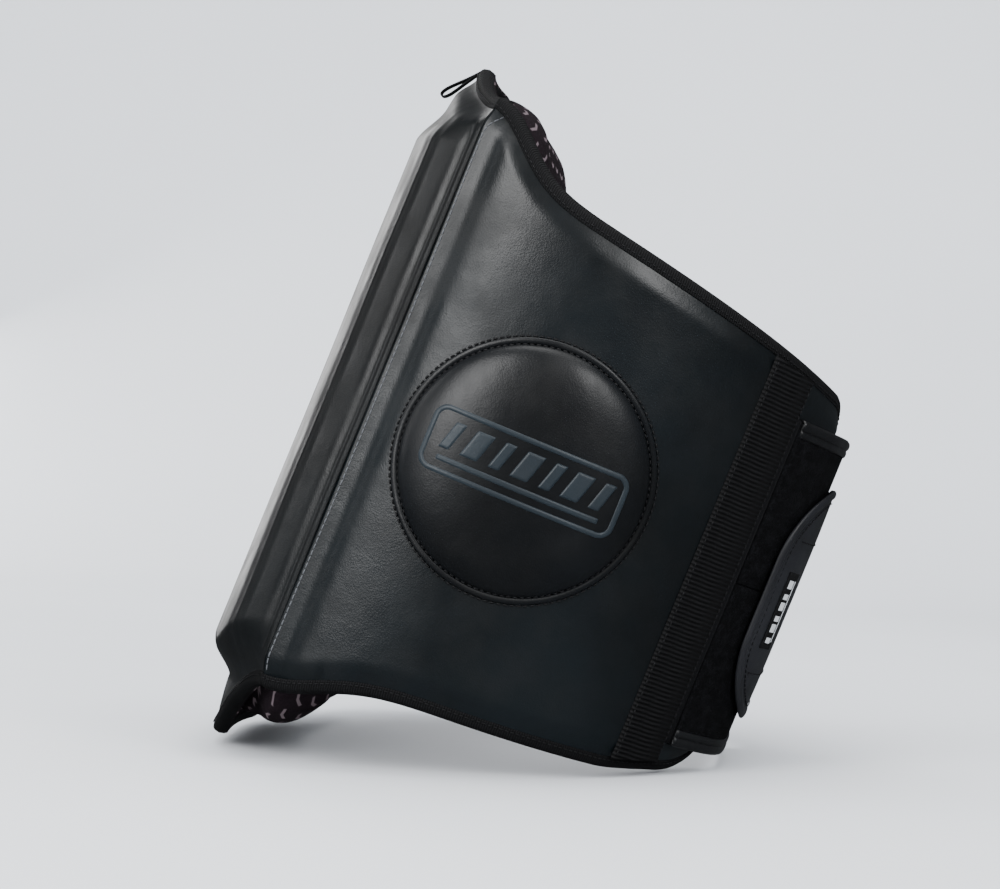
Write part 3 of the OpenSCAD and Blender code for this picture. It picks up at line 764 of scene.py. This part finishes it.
def emblem(side):
    """Generic mark pressed into a dome: slanted bars and a bead in a rounded frame."""
    parts = []
    half_w, half_h, corner, band = 57.5, 18.5, 7.0, 3.4
    # The frame: a closed band round a rounded rectangle
    turn = np.linspace(0, 2 * math.pi, 120, endpoint=False)
    cx = np.sign(np.cos(turn)) * (half_w - corner) + corner * np.cos(turn)
    cy = np.sign(np.sin(turn)) * (half_h - corner) + corner * np.sin(turn)
    loop = np.stack([cx, cy], 1)
    dense = []
    for p, q in zip(loop, np.roll(loop, -1, axis=0)):
        k = max(1, int(np.linalg.norm(q - p) / 2.0))
        dense += [p + (q - p) * i / k for i in range(k)]
    path = np.array(dense)
    ahead = np.roll(path, -1, axis=0) - np.roll(path, 1, axis=0)
    ahead /= np.linalg.norm(ahead, axis=1, keepdims=True)
    normal = np.stack([ahead[:, 1], -ahead[:, 0]], 1)
    prof = np.array([[-1, -0.6], [-1, -0.1], [-0.7, 0.45], [0, 0.6], [0.7, 0.45], [1, -0.1], [1, -0.6]])
    x = path[:, :1] + normal[:, :1] * prof[:, 0] * band / 2
    y = path[:, 1:] + normal[:, 1:] * prof[:, 0] * band / 2
    p = dome_surface(x, y, dome_height(np.hypot(x, y)) + prof[:, 1], side)
    parts.append((p.reshape(-1, 3), quads(len(path), len(prof), wrap_m=True, wrap_n=True)))
    bars = 7
    for i in range(bars):
        mid = (i - (bars - 1) / 2) * 15.0 * side
        wide = 11.0 if i % 2 else 7.0

        def bar(a, b, mid=mid, wide=wide):
            tall = 18.0
            y = (b - 0.5) * tall + 3.5
            x = mid + (a - 0.5) * wide + side * 0.30 * y
            return x, y, wide, tall

        parts.append(raised_patch(bar, 13, 21, 1.2, 0.95, side))

    def bead(a, b):
        return (a - 0.5) * 98.0, (b - 0.5) * 4.0 - 11.0, 98.0, 4.0

    parts.append(raised_patch(bead, 90, 9, 1.0, 0.8, side))
    mark = join_meshes(f"{SIDE_NAMES[side]}_emblem", parts)
    finish_piece(mark, M_EMBLEM, f"{SIDE_NAMES[side]}_side", "dome_leather")


def side_webbing(side):
    """Strip of ribbed webbing with raised bands, a flat selvedge and two rows of stitches."""
    name = SIDE_NAMES[side]
    s = np.linspace(WEBBING_S, WEBBING_S + WEBBING_W, 41)[None, :]
    inset = TAPE_W - 1.0
    t = np.linspace(0, 1, 560)[:, None]
    lo, hi = side_lo(s, inset), side_hi(s, inset)
    z = lo + (hi - lo) * t
    across = (s - WEBBING_S) / WEBBING_W
    band = np.abs(np.sin(across * math.pi * 3)) ** 0.5
    ribs = np.sin(z * 2 * math.pi / 2.7 + np.floor(across * 3) * 2.1)
    rim = smooth(np.minimum(across, 1 - across) / 0.04)
    off = 0.35 + 1.25 * rim + 0.28 * ribs * band * rim + 0.22 * (band - 0.5) * rim
    strip = slab(f"{name}_webbing_strip", closure(s, z, off, side), closure(s, z, 0.15, side), grid_uv(z, s))
    finish_piece(strip, M_WEBBING, f"{name}_side", "webbing", f"{name}_webbing")
    for k, at in enumerate((WEBBING_S + 2.2, WEBBING_S + WEBBING_W - 2.2)):
        z = np.linspace(side_lo(at, inset + 2), side_hi(at, inset + 2), 90)
        line = surface_path(closure, np.full(90, at), z, 1.75, side)
        stitch_row(f"{name}_webbing_stitches_{k}", f"{name}_side", "webbing", line, 2.6)


def seam_s(z):
    """Distance along a side panel of the light top-stitching, which bows a little and hooks at the top."""
    return SEAM_S + 1.6 + 1.2 * bell(z - 10, 120) + 7 * smooth((z - 178) / 22) ** 2


def seam_stitches(side):
    name = SIDE_NAMES[side]
    z = np.linspace(side_bottom(SEAM_S) + TAPE_W + 1, side_top(SEAM_S) - TAPE_W - 1, 160)
    s = seam_s(z)
    line = surface_path(side_surface, s, z, side_offset(s, z) + 0.1, side)
    stitch_row(f"{name}_seam_stitches", f"{name}_side", "leather", line, 3.6, 4.1, 0.48, 0.1, M_LIGHT_THREAD)


# ---- Front panel ----
def block_profile(z):
    """Share of the block's height at z, with rounded shoulders and hollow feet."""
    top = 0.66 * np.sqrt(np.clip((228 - z) / 57, 0, 1)) + 0.34 * smooth((195 - z) / 26)
    bottom = 0.12 + 0.88 * smooth((z + 189) / 24) ** 0.8
    return top * bottom


def front_roll(u):
    """How far the front's outer skin has rolled down at its top and bottom edges."""
    return 1.6 + (SIDE_ROLL - 1.6) * smooth((np.abs(u) - 0.62) / 0.38)


def front_squeeze(u):
    """How far the front's inner skin rises at its edges, to meet the side panels' edges."""
    return 1.0 + (SIDE_IN + SIDE_SQUEEZE - FRONT_IN + 0.6) * smooth((np.abs(u) - 0.62) / 0.38)


def front_offset(u, z):
    edge = (1 - np.abs(u)) * SEAM_X
    slope = np.clip((1 - np.abs(u)) / (1 - BLOCK_FLAT), 0, 1.35)
    corner = 0.08
    rising = slope - corner * smooth((slope - 0.7) / 0.3)
    side = np.where(slope < 1, rising, 1 - corner * smooth((1.35 - slope) / 0.35))
    crease = -1.5 * bell(edge - 7.5, 3.6) * smooth((front_hi(u) - 12 - z) / 20)
    border = np.minimum(front_hi(u) - z, z - front_lo(u))
    tuck = -front_roll(u) * (1 - smooth(border / 18))
    landing = smooth((front_hi(u) - z - 4) / 18) * smooth((z - front_lo(u) - 6) / 32)
    lift = BLOCK_RAISE * side * block_profile(z) * landing
    return lift + crease * smooth((z - front_lo(u) - 12) / 20) + tuck + ripple(u * SEAM_X, z, 5, 0.5)


def front_cover():
    u = dense_u(171)[:, None]
    t = np.linspace(0, 1, 211)[None, :]
    z = front_lo(u) + (front_hi(u) - front_lo(u)) * t
    off = front_offset(u, z)
    outer, inner = front_surface(u, z, off), front_surface(u, z, off - LEATHER_T)
    cover = slab("front_leather", outer, inner, grid_uv(u * SEAM_X, z))
    nodes = ("front_cover", "front_block_core", "front_base_core")
    finish_piece(cover, M_FRONT, "front", "leather", *nodes)


def front_binding(top):
    u = dense_u(150)[:, None]
    out_dir = 1 if top else -1
    edge_at = front_hi if top else front_lo
    folds = [fold_points(FRONT_IN + front_squeeze(v), -front_roll(v), 7.0) for v in u[:, 0]]
    off, out = np.array(folds)[..., 0], np.array(folds)[..., 1]
    label = "top" if top else "bottom"
    tape = sweep(f"front_binding_tape_{label}", front_surface(u, edge_at(u) + out_dir * out, off))
    finish_piece(tape, M_TAPE, "front", "binding_tape", f"front_binding_{label}")
    u = dense_u(150, 0.97)
    line = surface_path(front_surface, u, edge_at(u) - out_dir * 4.0, 1.9 - front_roll(u))
    stitch_row(f"front_binding_stitches_{label}", "front", "binding_tape", line, 2.4, 3.6, 0.4)


CUSHION_U = 166.0 / SEAM_X
CUSHION_D = 50.0


def cushion_closing(u):
    return np.sqrt(np.maximum(0, 1 - np.minimum(1, np.abs(u) / CUSHION_U) ** 14))


def carried_uv(obj, tree, source):
    """Gives a remeshed object the UV of the nearest place on the mesh it was made from."""
    points, faces, uvs = source
    layer = obj.data.uv_layers.new(name="UVMap")
    found = []
    for v in obj.data.vertices:
        at, _, index, _ = tree.find_nearest(v.co)
        corners = faces[index]
        weights = poly_3d_calc([points[i] for i in corners], at)
        found.append(sum((w * uvs[i] for w, i in zip(weights, corners)), Vector((0, 0))))
    for loop in obj.data.loops:
        layer.data[loop.index].uv = found[loop.vertex_index]


def inflate(obj, cap, voxel=0.006, pressure=4.0, frames=20):
    """Swells a closed mesh with Blender's cloth, holding every point within cap of where it was."""
    scene = bpy.context.scene
    points = [v.co.copy() for v in obj.data.vertices]
    faces = [tuple(p.vertices) for p in obj.data.polygons]
    uvs = [None] * len(points)
    for loop in obj.data.loops:
        uvs[loop.vertex_index] = obj.data.uv_layers[0].data[loop.index].uv.copy()
    tree = BVHTree.FromPolygons(points, faces)
    bpy.context.view_layer.objects.active = obj
    m = obj.modifiers.new("remesh", "REMESH")
    m.mode = "VOXEL"
    m.voxel_size = voxel
    bpy.ops.object.modifier_apply(modifier=m.name)
    carried_uv(obj, tree, (points, faces, uvs))
    rest = np.zeros(len(obj.data.vertices) * 3)
    obj.data.vertices.foreach_get("co", rest)
    cloth = obj.modifiers.new("cloth", "CLOTH")
    cloth.settings.use_pressure = True
    cloth.settings.uniform_pressure_force = pressure
    cloth.settings.effector_weights.gravity = 0
    cloth.point_cache.frame_start, cloth.point_cache.frame_end = 1, frames
    for f in range(1, frames + 1):
        scene.frame_set(f)
    graph = bpy.context.evaluated_depsgraph_get()
    swollen = np.zeros_like(rest)
    obj.evaluated_get(graph).data.vertices.foreach_get("co", swollen)
    obj.modifiers.remove(cloth)
    scene.frame_set(1)
    move = (swollen - rest).reshape(-1, 3)
    far = np.linalg.norm(move, axis=1, keepdims=True)
    move *= np.minimum(1, cap / np.maximum(far, 1e-9))
    obj.data.vertices.foreach_set("co", (rest.reshape(-1, 3) + move).ravel())
    obj.data.polygons.foreach_set("use_smooth", [True] * len(obj.data.polygons))
    obj.data.update()
    sub = obj.modifiers.new("smooth", "SUBSURF")
    sub.levels = sub.render_levels = 1
    return obj


def cushion():
    """Thick soft roll behind the front panel, swollen by cloth simulation."""
    shrink = 1.0
    u = dense_u(61, CUSHION_U * 0.985)[:, None]
    full = cushion_closing(u)
    side = front_shoulder(u)
    margin = TAPE_W + 1.5 + 34 * (1 - full) + shrink
    lo_neck, hi_neck = front_lo(u) + margin, front_hi(u) - margin
    lo, hi = lo_neck + (4 - 46 * side) * full, hi_neck + (4 + 15 * side) * full
    depth = (CUSHION_D - shrink) * full
    shape = [(0.02, lo_neck), (0.08, lo_neck), (0.28, lo + 2 * full), (0.5, lo), (0.7, lo + 4 * full)]
    shape += [(0.87, lo + 13 * full), (0.97, lo + 26 * full), (1.0, lo + 42 * full)]
    shape += [(1.0, lo + (hi - lo) * k) for k in (0.35, 0.5, 0.65)]
    shape += [(1.03, hi - 40 * full), (1.0, hi - 24 * full), (0.91, hi - 11 * full), (0.74, hi - 3 * full)]
    shape += [(0.5, hi), (0.28, hi), (0.08, hi_neck), (0.02, hi_neck)]
    off = np.concatenate([FRONT_IN + 1.0 - d * depth for d, _ in shape], axis=1)
    z = np.concatenate([np.broadcast_to(h, u.shape) for _, h in shape], axis=1)
    pad = sweep("front_cushion_pad", front_surface(u, z, off))
    inflate(pad, 0.005)
    finish_piece(pad, M_LINING, "front", "lining", "front_cushion", "front_lining")


def front_lining():
    u = dense_u(81)[:, None]
    t = np.linspace(0, 1, 60)[None, :]
    z = front_lo(u) + (front_hi(u) - front_lo(u)) * t
    sheet = slab(
        "front_inner_lining",
        front_surface(u, z, FRONT_IN + LINING_T),
        front_surface(u, z, FRONT_IN + ripple(u * SEAM_X, z, 9, 0.3)),
        grid_uv(u * SEAM_X, z),
    )
    finish_piece(sheet, M_LINING, "front", "lining")


def seam_gusset(side):
    """Lining that bridges the front and a side panel inside the seam."""
    name = SIDE_NAMES[side]
    k = np.linspace(0, 1, 17)[:, None]
    z0, z1 = side_bottom(SEAM_S) + 18, side_top(SEAM_S) - 26
    z = np.linspace(z0, z1, 60)[None, :]
    a = front_surface(side * 0.955, z, FRONT_IN - 0.6)
    b = side_surface(SEAM_S + 12, z, SIDE_IN - 1.6, side)
    middle = side_surface(SEAM_S + 1, z, SIDE_IN - 1.0, side)
    curve = (1 - k)[..., None] ** 2 * a + 2 * (k * (1 - k))[..., None] * middle + k[..., None] ** 2 * b
    across = b - a
    up = np.array([0.0, 0.0, 1.0])
    n = np.cross(across, up)
    n /= np.linalg.norm(n, axis=-1, keepdims=True)
    sheet = slab(f"{name}_seam_gusset", curve, curve + 1.2 * n * side, grid_uv(k * 20, z))
    sheet.data.materials.append(M_LINING)
    start = Vector(place(front_surface(side * 0.97, 0.0, FRONT_IN)))
    end = Vector(place(side_surface(SEAM_S + 9, 0.0, SIDE_IN, side)))
    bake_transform(sheet)


# ---- Closure ----
LOOP_END = HALF_S + 40
BAND_END = HALF_S - 12
TAB_END = HALF_S + 8
BAND_STEP = TAB_IN - 1.65 + 0.1 - 1.3


def rounded_strip(name, stations, lo, hi, inner, outer, soft=0.6, mirror=1, bulge=0.0):
    """Strip between two heights with soft edges. lo, hi, inner and outer may vary along it."""
    lo, hi, inner, outer = (np.broadcast_to(v, stations.shape)[:, None] for v in (lo, hi, inner, outer))
    k = np.linspace(0, 1, 25)[None, :]
    face = lo + soft + (hi - lo - 2 * soft) * k
    crown = outer + bulge * (1 - (2 * k - 1) ** 4)
    bevel = 0.3 * soft
    z = np.concatenate([lo, lo + bevel, face, hi - bevel, hi, hi - soft, lo + soft], 1)
    foot, shoulder = inner + soft, outer - bevel
    off = np.concatenate([foot, shoulder, crown, shoulder, foot, inner, inner], 1)
    return sweep(name, closure(stations[:, None], z, off, mirror), along=stations)


def stations(a, b, step=3.0):
    return np.linspace(a, b, max(2, int((b - a) / step)))


def piping_points(outer):
    """Cross-section of a leather edge with a double ridge: offset and distance out of the edge."""
    a = np.linspace(0, math.pi, 8)
    ridge_one = [(outer + 0.2 + 1.1 * math.sin(t), -9.6 + 4.6 * (1 - math.cos(t)) / 2) for t in a]
    ridge_two = [(outer + 0.2 + 1.35 * math.sin(t), -4.8 + 5.4 * (1 - math.cos(t)) / 2) for t in a]
    rim = [(outer - 0.4, 1.2), (1.5, 1.2), (1.2, 0.4), (1.2, 0.0), (outer + 0.1, 0.0), (outer + 0.1, -9.6)]
    return np.array(ridge_one + ridge_two[1:] + rim)


def step_out(s):
    """Share of the way that the elastic band has stepped out over the loop panel's end."""
    return smooth((s - (HALF_S - 78)) / 32)


def strap_piping(name, s, z, out_dir, outer, mirror, step, body, node):
    off, out = piping_points(outer).T
    points = closure(s[:, None], z + out_dir * out, off + step * step_out(s)[:, None], mirror)
    edge = sweep(name, points)
    finish_piece(edge, M_EDGE, body, "edge_leather", node)


def loop_panel():
    s = stations(STRAP_S, LOOP_END)
    mid = (LOOP_TOP + LOOP_BOTTOM) / 2
    back = rounded_strip("loop_back", s, LOOP_BOTTOM, LOOP_TOP, 1.3, 2.7, 0.4)
    finish_piece(back, M_BACKING, "left_strap", "strap_fabric", "loop_backing")
    for label, lo, hi in (("upper", mid + 0.1, LOOP_TOP - 0.2), ("lower", LOOP_BOTTOM + 0.2, mid - 0.1)):
        tape = rounded_strip(f"loop_pile_{label}", s, lo, hi, 2.7, LOOP_OUT, 1.0, bulge=0.2)
        finish_piece(tape, M_PILE, "left_strap", "loop_pile", f"loop_tape_{label}")
    for label, z, out_dir in (("top", LOOP_TOP, 1), ("bottom", LOOP_BOTTOM, -1)):
        node = f"loop_binding_{label}"
        strap_piping(f"loop_piping_{label}", s, z, out_dir, LOOP_OUT, 1, 0, "left_strap", node)


def elastic_strap():
    s = stations(STRAP_S, BAND_END)
    lo, hi = TAB_Z - BAND_H / 2, TAB_Z + BAND_H / 2
    step = BAND_STEP * step_out(s)
    band = rounded_strip("elastic_strap", s, lo, hi, 1.3 + step, 3.1 + step, 0.5, mirror=-1)
    finish_piece(band, M_ELASTIC, "right_strap", "elastic", "elastic_band")
    for label, z, out_dir in (("top", hi, 1), ("bottom", lo, -1)):
        name = f"elastic_piping_{label}"
        strap_piping(name, s, z, out_dir, 3.1, -1, BAND_STEP, "right_strap", f"elastic_binding_{label}")


def tab_half(s, inset):
    return TAB_HALF - inset - corner_drop(TAB_CORNER - inset, TAB_S + TAB_CORNER - s)


def tab_stations(inset):
    knee = TAB_S + TAB_CORNER
    a = np.linspace(math.pi / 2, 0, 22, endpoint=False)
    return np.concatenate([knee - (TAB_CORNER - inset) * np.sin(a), stations(knee, TAB_END)])


def tab_edge(inset=0.0):
    """Round the tab's edge: s, height from its middle, and the direction out of the edge."""
    knee = TAB_S + TAB_CORNER
    run = stations(knee, TAB_END, 2.5)[::-1]
    a = np.linspace(0, math.pi / 2, 26)[1:]
    s = np.concatenate([run, knee - TAB_CORNER * np.sin(a)])
    z = np.concatenate([0 * run + TAB_HALF, TAB_HALF - TAB_CORNER * (1 - np.cos(a))])
    ds = np.concatenate([0 * run, -np.sin(a)])
    dz = np.concatenate([0 * run + 1, np.cos(a)])
    s, z = np.concatenate([s, s[::-1]]), np.concatenate([z, -z[::-1]])
    ds, dz = np.concatenate([ds, ds[::-1]]), np.concatenate([dz, -dz[::-1]])
    return s - inset * ds, z - inset * dz, ds, dz


def tab():
    inset = 5.0
    s = tab_stations(inset)
    half = tab_half(s, inset)
    cover = rounded_strip("tab_leather", s, TAB_Z - half, TAB_Z + half, TAB_IN, TAB_OUT, 0.8, bulge=0.7)
    finish_piece(cover, M_TAB, "tab", "tab_leather", "tab_cover")
    s, z, ds, dz = (v[:, None] for v in tab_edge())
    a = np.linspace(0, 2 * math.pi, 18, endpoint=False)
    out = -3.1 + 3.1 * np.cos(a)
    off = (TAB_IN + TAB_OUT + 1.2) / 2 + (TAB_OUT + 1.2 - TAB_IN) / 2 * np.sin(a)
    roll = sweep("tab_roll", closure(s + out * ds, TAB_Z + z + out * dz, off))
    finish_piece(roll, M_TAB, "tab", "tab_leather", "tab_border")
    s, z, _, _ = tab_edge(8.6)
    keep = slice(4, -4)
    line = surface_path(closure, s[keep], TAB_Z + z[keep], TAB_OUT + 0.45)
    stitch_row("tab_stitches", "tab", "tab_leather", line)
    for k, z in enumerate((TAB_Z + 41.0, TAB_Z - 47.0)):
        s = np.linspace(TAB_S + 17, TAB_END - 3, 60)
        line = surface_path(closure, s, np.full(60, z), TAB_OUT + 0.72)
        stitch_row(f"tab_cross_stitches_{k}", "tab", "tab_leather", line)
    s = tab_stations(9)
    half = tab_half(s, 9)
    hook = rounded_strip("tab_hook", s, TAB_Z - half, TAB_Z + half, 4.75, 6.25, 0.4)
    finish_piece(hook, M_HOOK, "tab", "hook_tape", "hook_patch")
    label()


def label():
    """Woven label with plain blocks and a rule in place of any wording."""
    start, wide, lo, hi = TAB_S + 18.0, 17.0, -43.0, 8.0
    base = TAB_OUT + 0.75
    run = stations(start, start + wide, 1.0)
    cloth = rounded_strip("tab_woven_label", run, lo, hi, base, base + 0.5, 0.2)
    finish_piece(cloth, M_LABEL, "tab", "label", "tab_label")
    feet = lo + 4 + 7.3 * np.arange(6)
    blocks = [(start + 4.0, start + 11.5, z, z + (5.4 if k % 2 else 3.6)) for k, z in enumerate(feet)]
    rule = (start + 13.2, start + 14.6, lo + 5, hi - 5)
    for k, (a, b, z0, z1) in enumerate([*blocks, rule]):
        run = np.linspace(a, b, 5)
        block = rounded_strip(f"label_block_{k}", run, z0, z1, base + 0.45, base + 0.62, 0.05)
        finish_piece(block, M_PRINT, "tab", "label")


# ---- Bends ----
# How far a strip runs under each neighbour's edge, and past the ends of the gap it closes
BEND_UNDER = 6.0
BEND_PAST = 0.8


def bend_strip(name, material, at_a, at_b, wide):
    """Cloth inside two neighbours' edges that closes the gap between them.

    at_a and at_b give the strip's outer and inner lines where it is sewn into each neighbour.
    """
    k = np.linspace(0, 1, 25)[:, None, None]
    outer, inner = (a + (b - a) * k for a, b in zip(at_a, at_b))
    run = np.linspace(0, wide, 25)[:, None]
    strip = slab(name, outer, inner, grid_uv(run, outer[..., 2]))
    strip.data.materials.append(material)
    middle = outer.shape[1] // 2
    start, end = (outer[0] + (outer[-1] - outer[0]) * share for share in (0.2, 0.8))
    Vector(place(start[middle]))
    Vector(place(end[middle]))
    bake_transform(strip)


def seam_bend(side):
    """Tape that joins the front to a side panel, inside their squeezed edges."""
    name = SIDE_NAMES[side]
    z = np.linspace(side_bottom(SEAM_S) - BEND_PAST, side_top(SEAM_S) + BEND_PAST, 60)
    at_front = [front_surface(side * 0.97, z, off) for off in (-6.4, -8.6)]
    at_side = [side_surface(SEAM_S + BEND_UNDER, z, off, side) for off in (-6.4, -8.6)]
    bend_strip(f"{name}_seam_tape", M_TAPE, at_front, at_side, 2 * BEND_UNDER)


def strap_bend(side, lo, hi):
    """Cloth that joins a strap to its side panel: under the webbing, and inside the strap."""
    name = SIDE_NAMES[side]
    z = np.linspace(lo - BEND_PAST, hi + BEND_PAST, 40)
    at_panel = [closure(STRAP_S - BEND_UNDER, z, off, side) for off in (1.2, 0.4)]
    at_strap = [closure(STRAP_S + BEND_UNDER, z, off, side) for off in (2.4, 1.6)]
    bodies, label = (f"{name}_side", f"{name}_strap"), f"{name}_strap_hinge_cloth"
    bend_strip(label, M_BACKING, at_panel, at_strap, 2 * BEND_UNDER)


def tab_bend():
    """Cloth that joins the tab to the end of the elastic band."""
    z = TAB_Z + (BAND_H / 2 + BEND_PAST) * np.linspace(-1, 1, 40)
    band_end = 2 * HALF_S - BAND_END
    at_band = [closure(band_end + BEND_UNDER, z, off) for off in (6.3, 5.1)]
    at_tab = [closure(TAB_END - BEND_UNDER, z, off) for off in (8.2, 6.8)]
    wide = band_end - TAB_END + 2 * BEND_UNDER
    bend_strip("tab_hinge_cloth", M_BACKING, at_band, at_tab, wide)


# ---- Hanging loop ----
def hanging_loop():
    """Folded ribbon: its two ends are sewn at the top binding and its fold makes a drop shape."""
    hinge = np.array(JOINTS["hang_loop_swing"]["pos_m"]) - ORIGIN
    c, s = math.cos(LEAN), math.sin(LEAN)
    y0 = 1000 * (hinge[1] * c - hinge[2] * s)
    z0 = 1000 * (hinge[1] * s + hinge[2] * c)
    length, wide, thick, hang = 31.0, 10.0, 0.8, math.radians(52)
    t = np.linspace(0, 1, 45)
    out = length * np.sin(t * math.pi) ** 0.8
    half = 2.6 * np.sin(t * 2 * math.pi) * (0.35 + 0.65 * np.sin(t * math.pi))
    centre = np.stack([-out, half], 1)
    d = np.gradient(centre, axis=0)
    d /= np.linalg.norm(d, axis=1, keepdims=True)
    n = np.stack([-d[:, 1], d[:, 0]], 1)
    section = [(-wide / 2, -1), (wide / 2, -1), (wide / 2, 1), (-wide / 2, 1)]
    rings = []
    for p, q in zip(centre, n):
        ringlet = []
        for x, k in section:
            a, b = p + q * k * thick / 2
            y = a * math.cos(hang) - b * math.sin(hang)
            z = a * math.sin(hang) + b * math.cos(hang)
            ringlet.append((x, y0 + y, z0 + z))
        rings.append(ringlet)
    ribbon = sweep("hanging_ribbon", np.array(rings))
    ribbon.data.polygons.foreach_set("use_smooth", [False] * len(ribbon.data.polygons))
    finish_piece(ribbon, M_RIBBON, "hang_loop", "webbing", "hang_loop")


# ---- Setting ----
def studio():
    """Seamless pale sweep, soft lamps, and the camera."""
    n = Nodes("pale_floor")
    tone = n.noise(n.place(), 1.5, 3)
    col = n.mix(n.span(tone, 0.3, 0.7), (0.74, 0.75, 0.77), (0.77, 0.78, 0.80))
    floor_mat = n.done(col, 0.7)
    reach, bend, width, height = 1.6, 0.9, 8.0, 5.0
    curve = np.linspace(0, math.pi / 2, 16)[1:]
    profile = [(4.0, 0.0), (1.0, 0.0), (0.0, 0.0), (-reach, 0.0)]
    profile += [(-reach - bend * math.sin(a), bend * (1 - math.cos(a))) for a in curve]
    profile.append((-reach - bend, height))
    verts = np.array([(x, y, z) for x, z in profile for y in (-width / 2, width / 2)])
    floor = build("floor", verts, quads(len(profile), 2))
    floor.data.materials.append(floor_mat)

    # Even soft light, which glossy surfaces see as a dim room
    world = bpy.data.worlds.new("studio")
    world.use_nodes = True
    tree = world.node_tree
    sky = tree.nodes["Background"]
    sky.inputs["Color"].default_value = (0.86, 0.90, 0.95, 1)
    path = tree.nodes.new("ShaderNodeLightPath")
    level = tree.nodes.new("ShaderNodeMapRange")
    for key, v in zip(("To Min", "To Max"), (2.1, 0.10)):
        level.inputs[key].default_value = v
    tree.links.new(path.outputs["Is Glossy Ray"], level.inputs["Value"])
    tree.links.new(level.outputs["Result"], sky.inputs["Strength"])
    bpy.context.scene.world = world
    floor.visible_glossy = False

    aim = Vector((0, 0, 0.2))
    lamps = [
        ("key", (1.7, -1.1, 1.15), 0.9, 1.3, 30),
        ("rim", (-2.0, -1.2, 0.9), 0.6, 1.6, 14),
        ("front", (0.1, -2.2, 1.2), 0.5, 1.2, 6),
        ("fill", (2.0, 1.6, 1.4), 0.9, 1.2, 30),
        ("top", (0.1, 0.3, 2.3), 1.8, 1.8, 34),
    ]
    for name, at, sx, sy, power in lamps:
        data = bpy.data.lights.new(name, "AREA")
        data.shape = "RECTANGLE"
        data.size, data.size_y, data.energy = sx, sy, power
        lamp = bpy.data.objects.new(name, data)
        lamp.location = at
        lamp.rotation_euler = (aim - Vector(at)).to_track_quat("-Z", "Y").to_euler()
        bpy.context.scene.collection.objects.link(lamp)

    lean_at_camera, azimuth, at = math.radians(22.38), math.radians(94.32), (1.7929, 0.1216, 0.0159)
    cam = bpy.data.cameras.new("camera")
    cam.lens, cam.sensor_width, cam.clip_end = 97.9, 36.0, 20.0
    eye = bpy.data.objects.new("camera", cam)
    bpy.context.scene.collection.objects.link(eye)
    # The camera is tied to the shield's own axes, so it keeps a small roll against the floor
    roll = Matrix.Rotation(lean_at_camera - LEAN, 4, "X")
    back = Vector((math.sin(azimuth), -math.cos(azimuth), 0))
    right = Vector((math.cos(azimuth), math.sin(azimuth), 0))
    turned = Matrix((right, Vector((0, 0, 1)), back)).transposed().to_4x4()
    eye.matrix_world = Matrix.Translation(Vector(ORIGIN)) @ roll @ Matrix.Translation(at) @ turned
    bpy.context.scene.camera = eye


for each_side in (1, -1):
    side_cover(each_side)
    side_lining(each_side)
    side_binding(each_side)
    dome(each_side)
    emblem(each_side)
    side_webbing(each_side)
    seam_stitches(each_side)
    seam_gusset(each_side)
    seam_bend(each_side)
front_cover()
front_binding(True)
front_binding(False)
front_lining()
cushion()
loop_panel()
elastic_strap()
tab()
strap_bend(1, LOOP_BOTTOM, LOOP_TOP)
strap_bend(-1, TAB_Z - BAND_H / 2, TAB_Z + BAND_H / 2)
tab_bend()
hanging_loop()
studio()
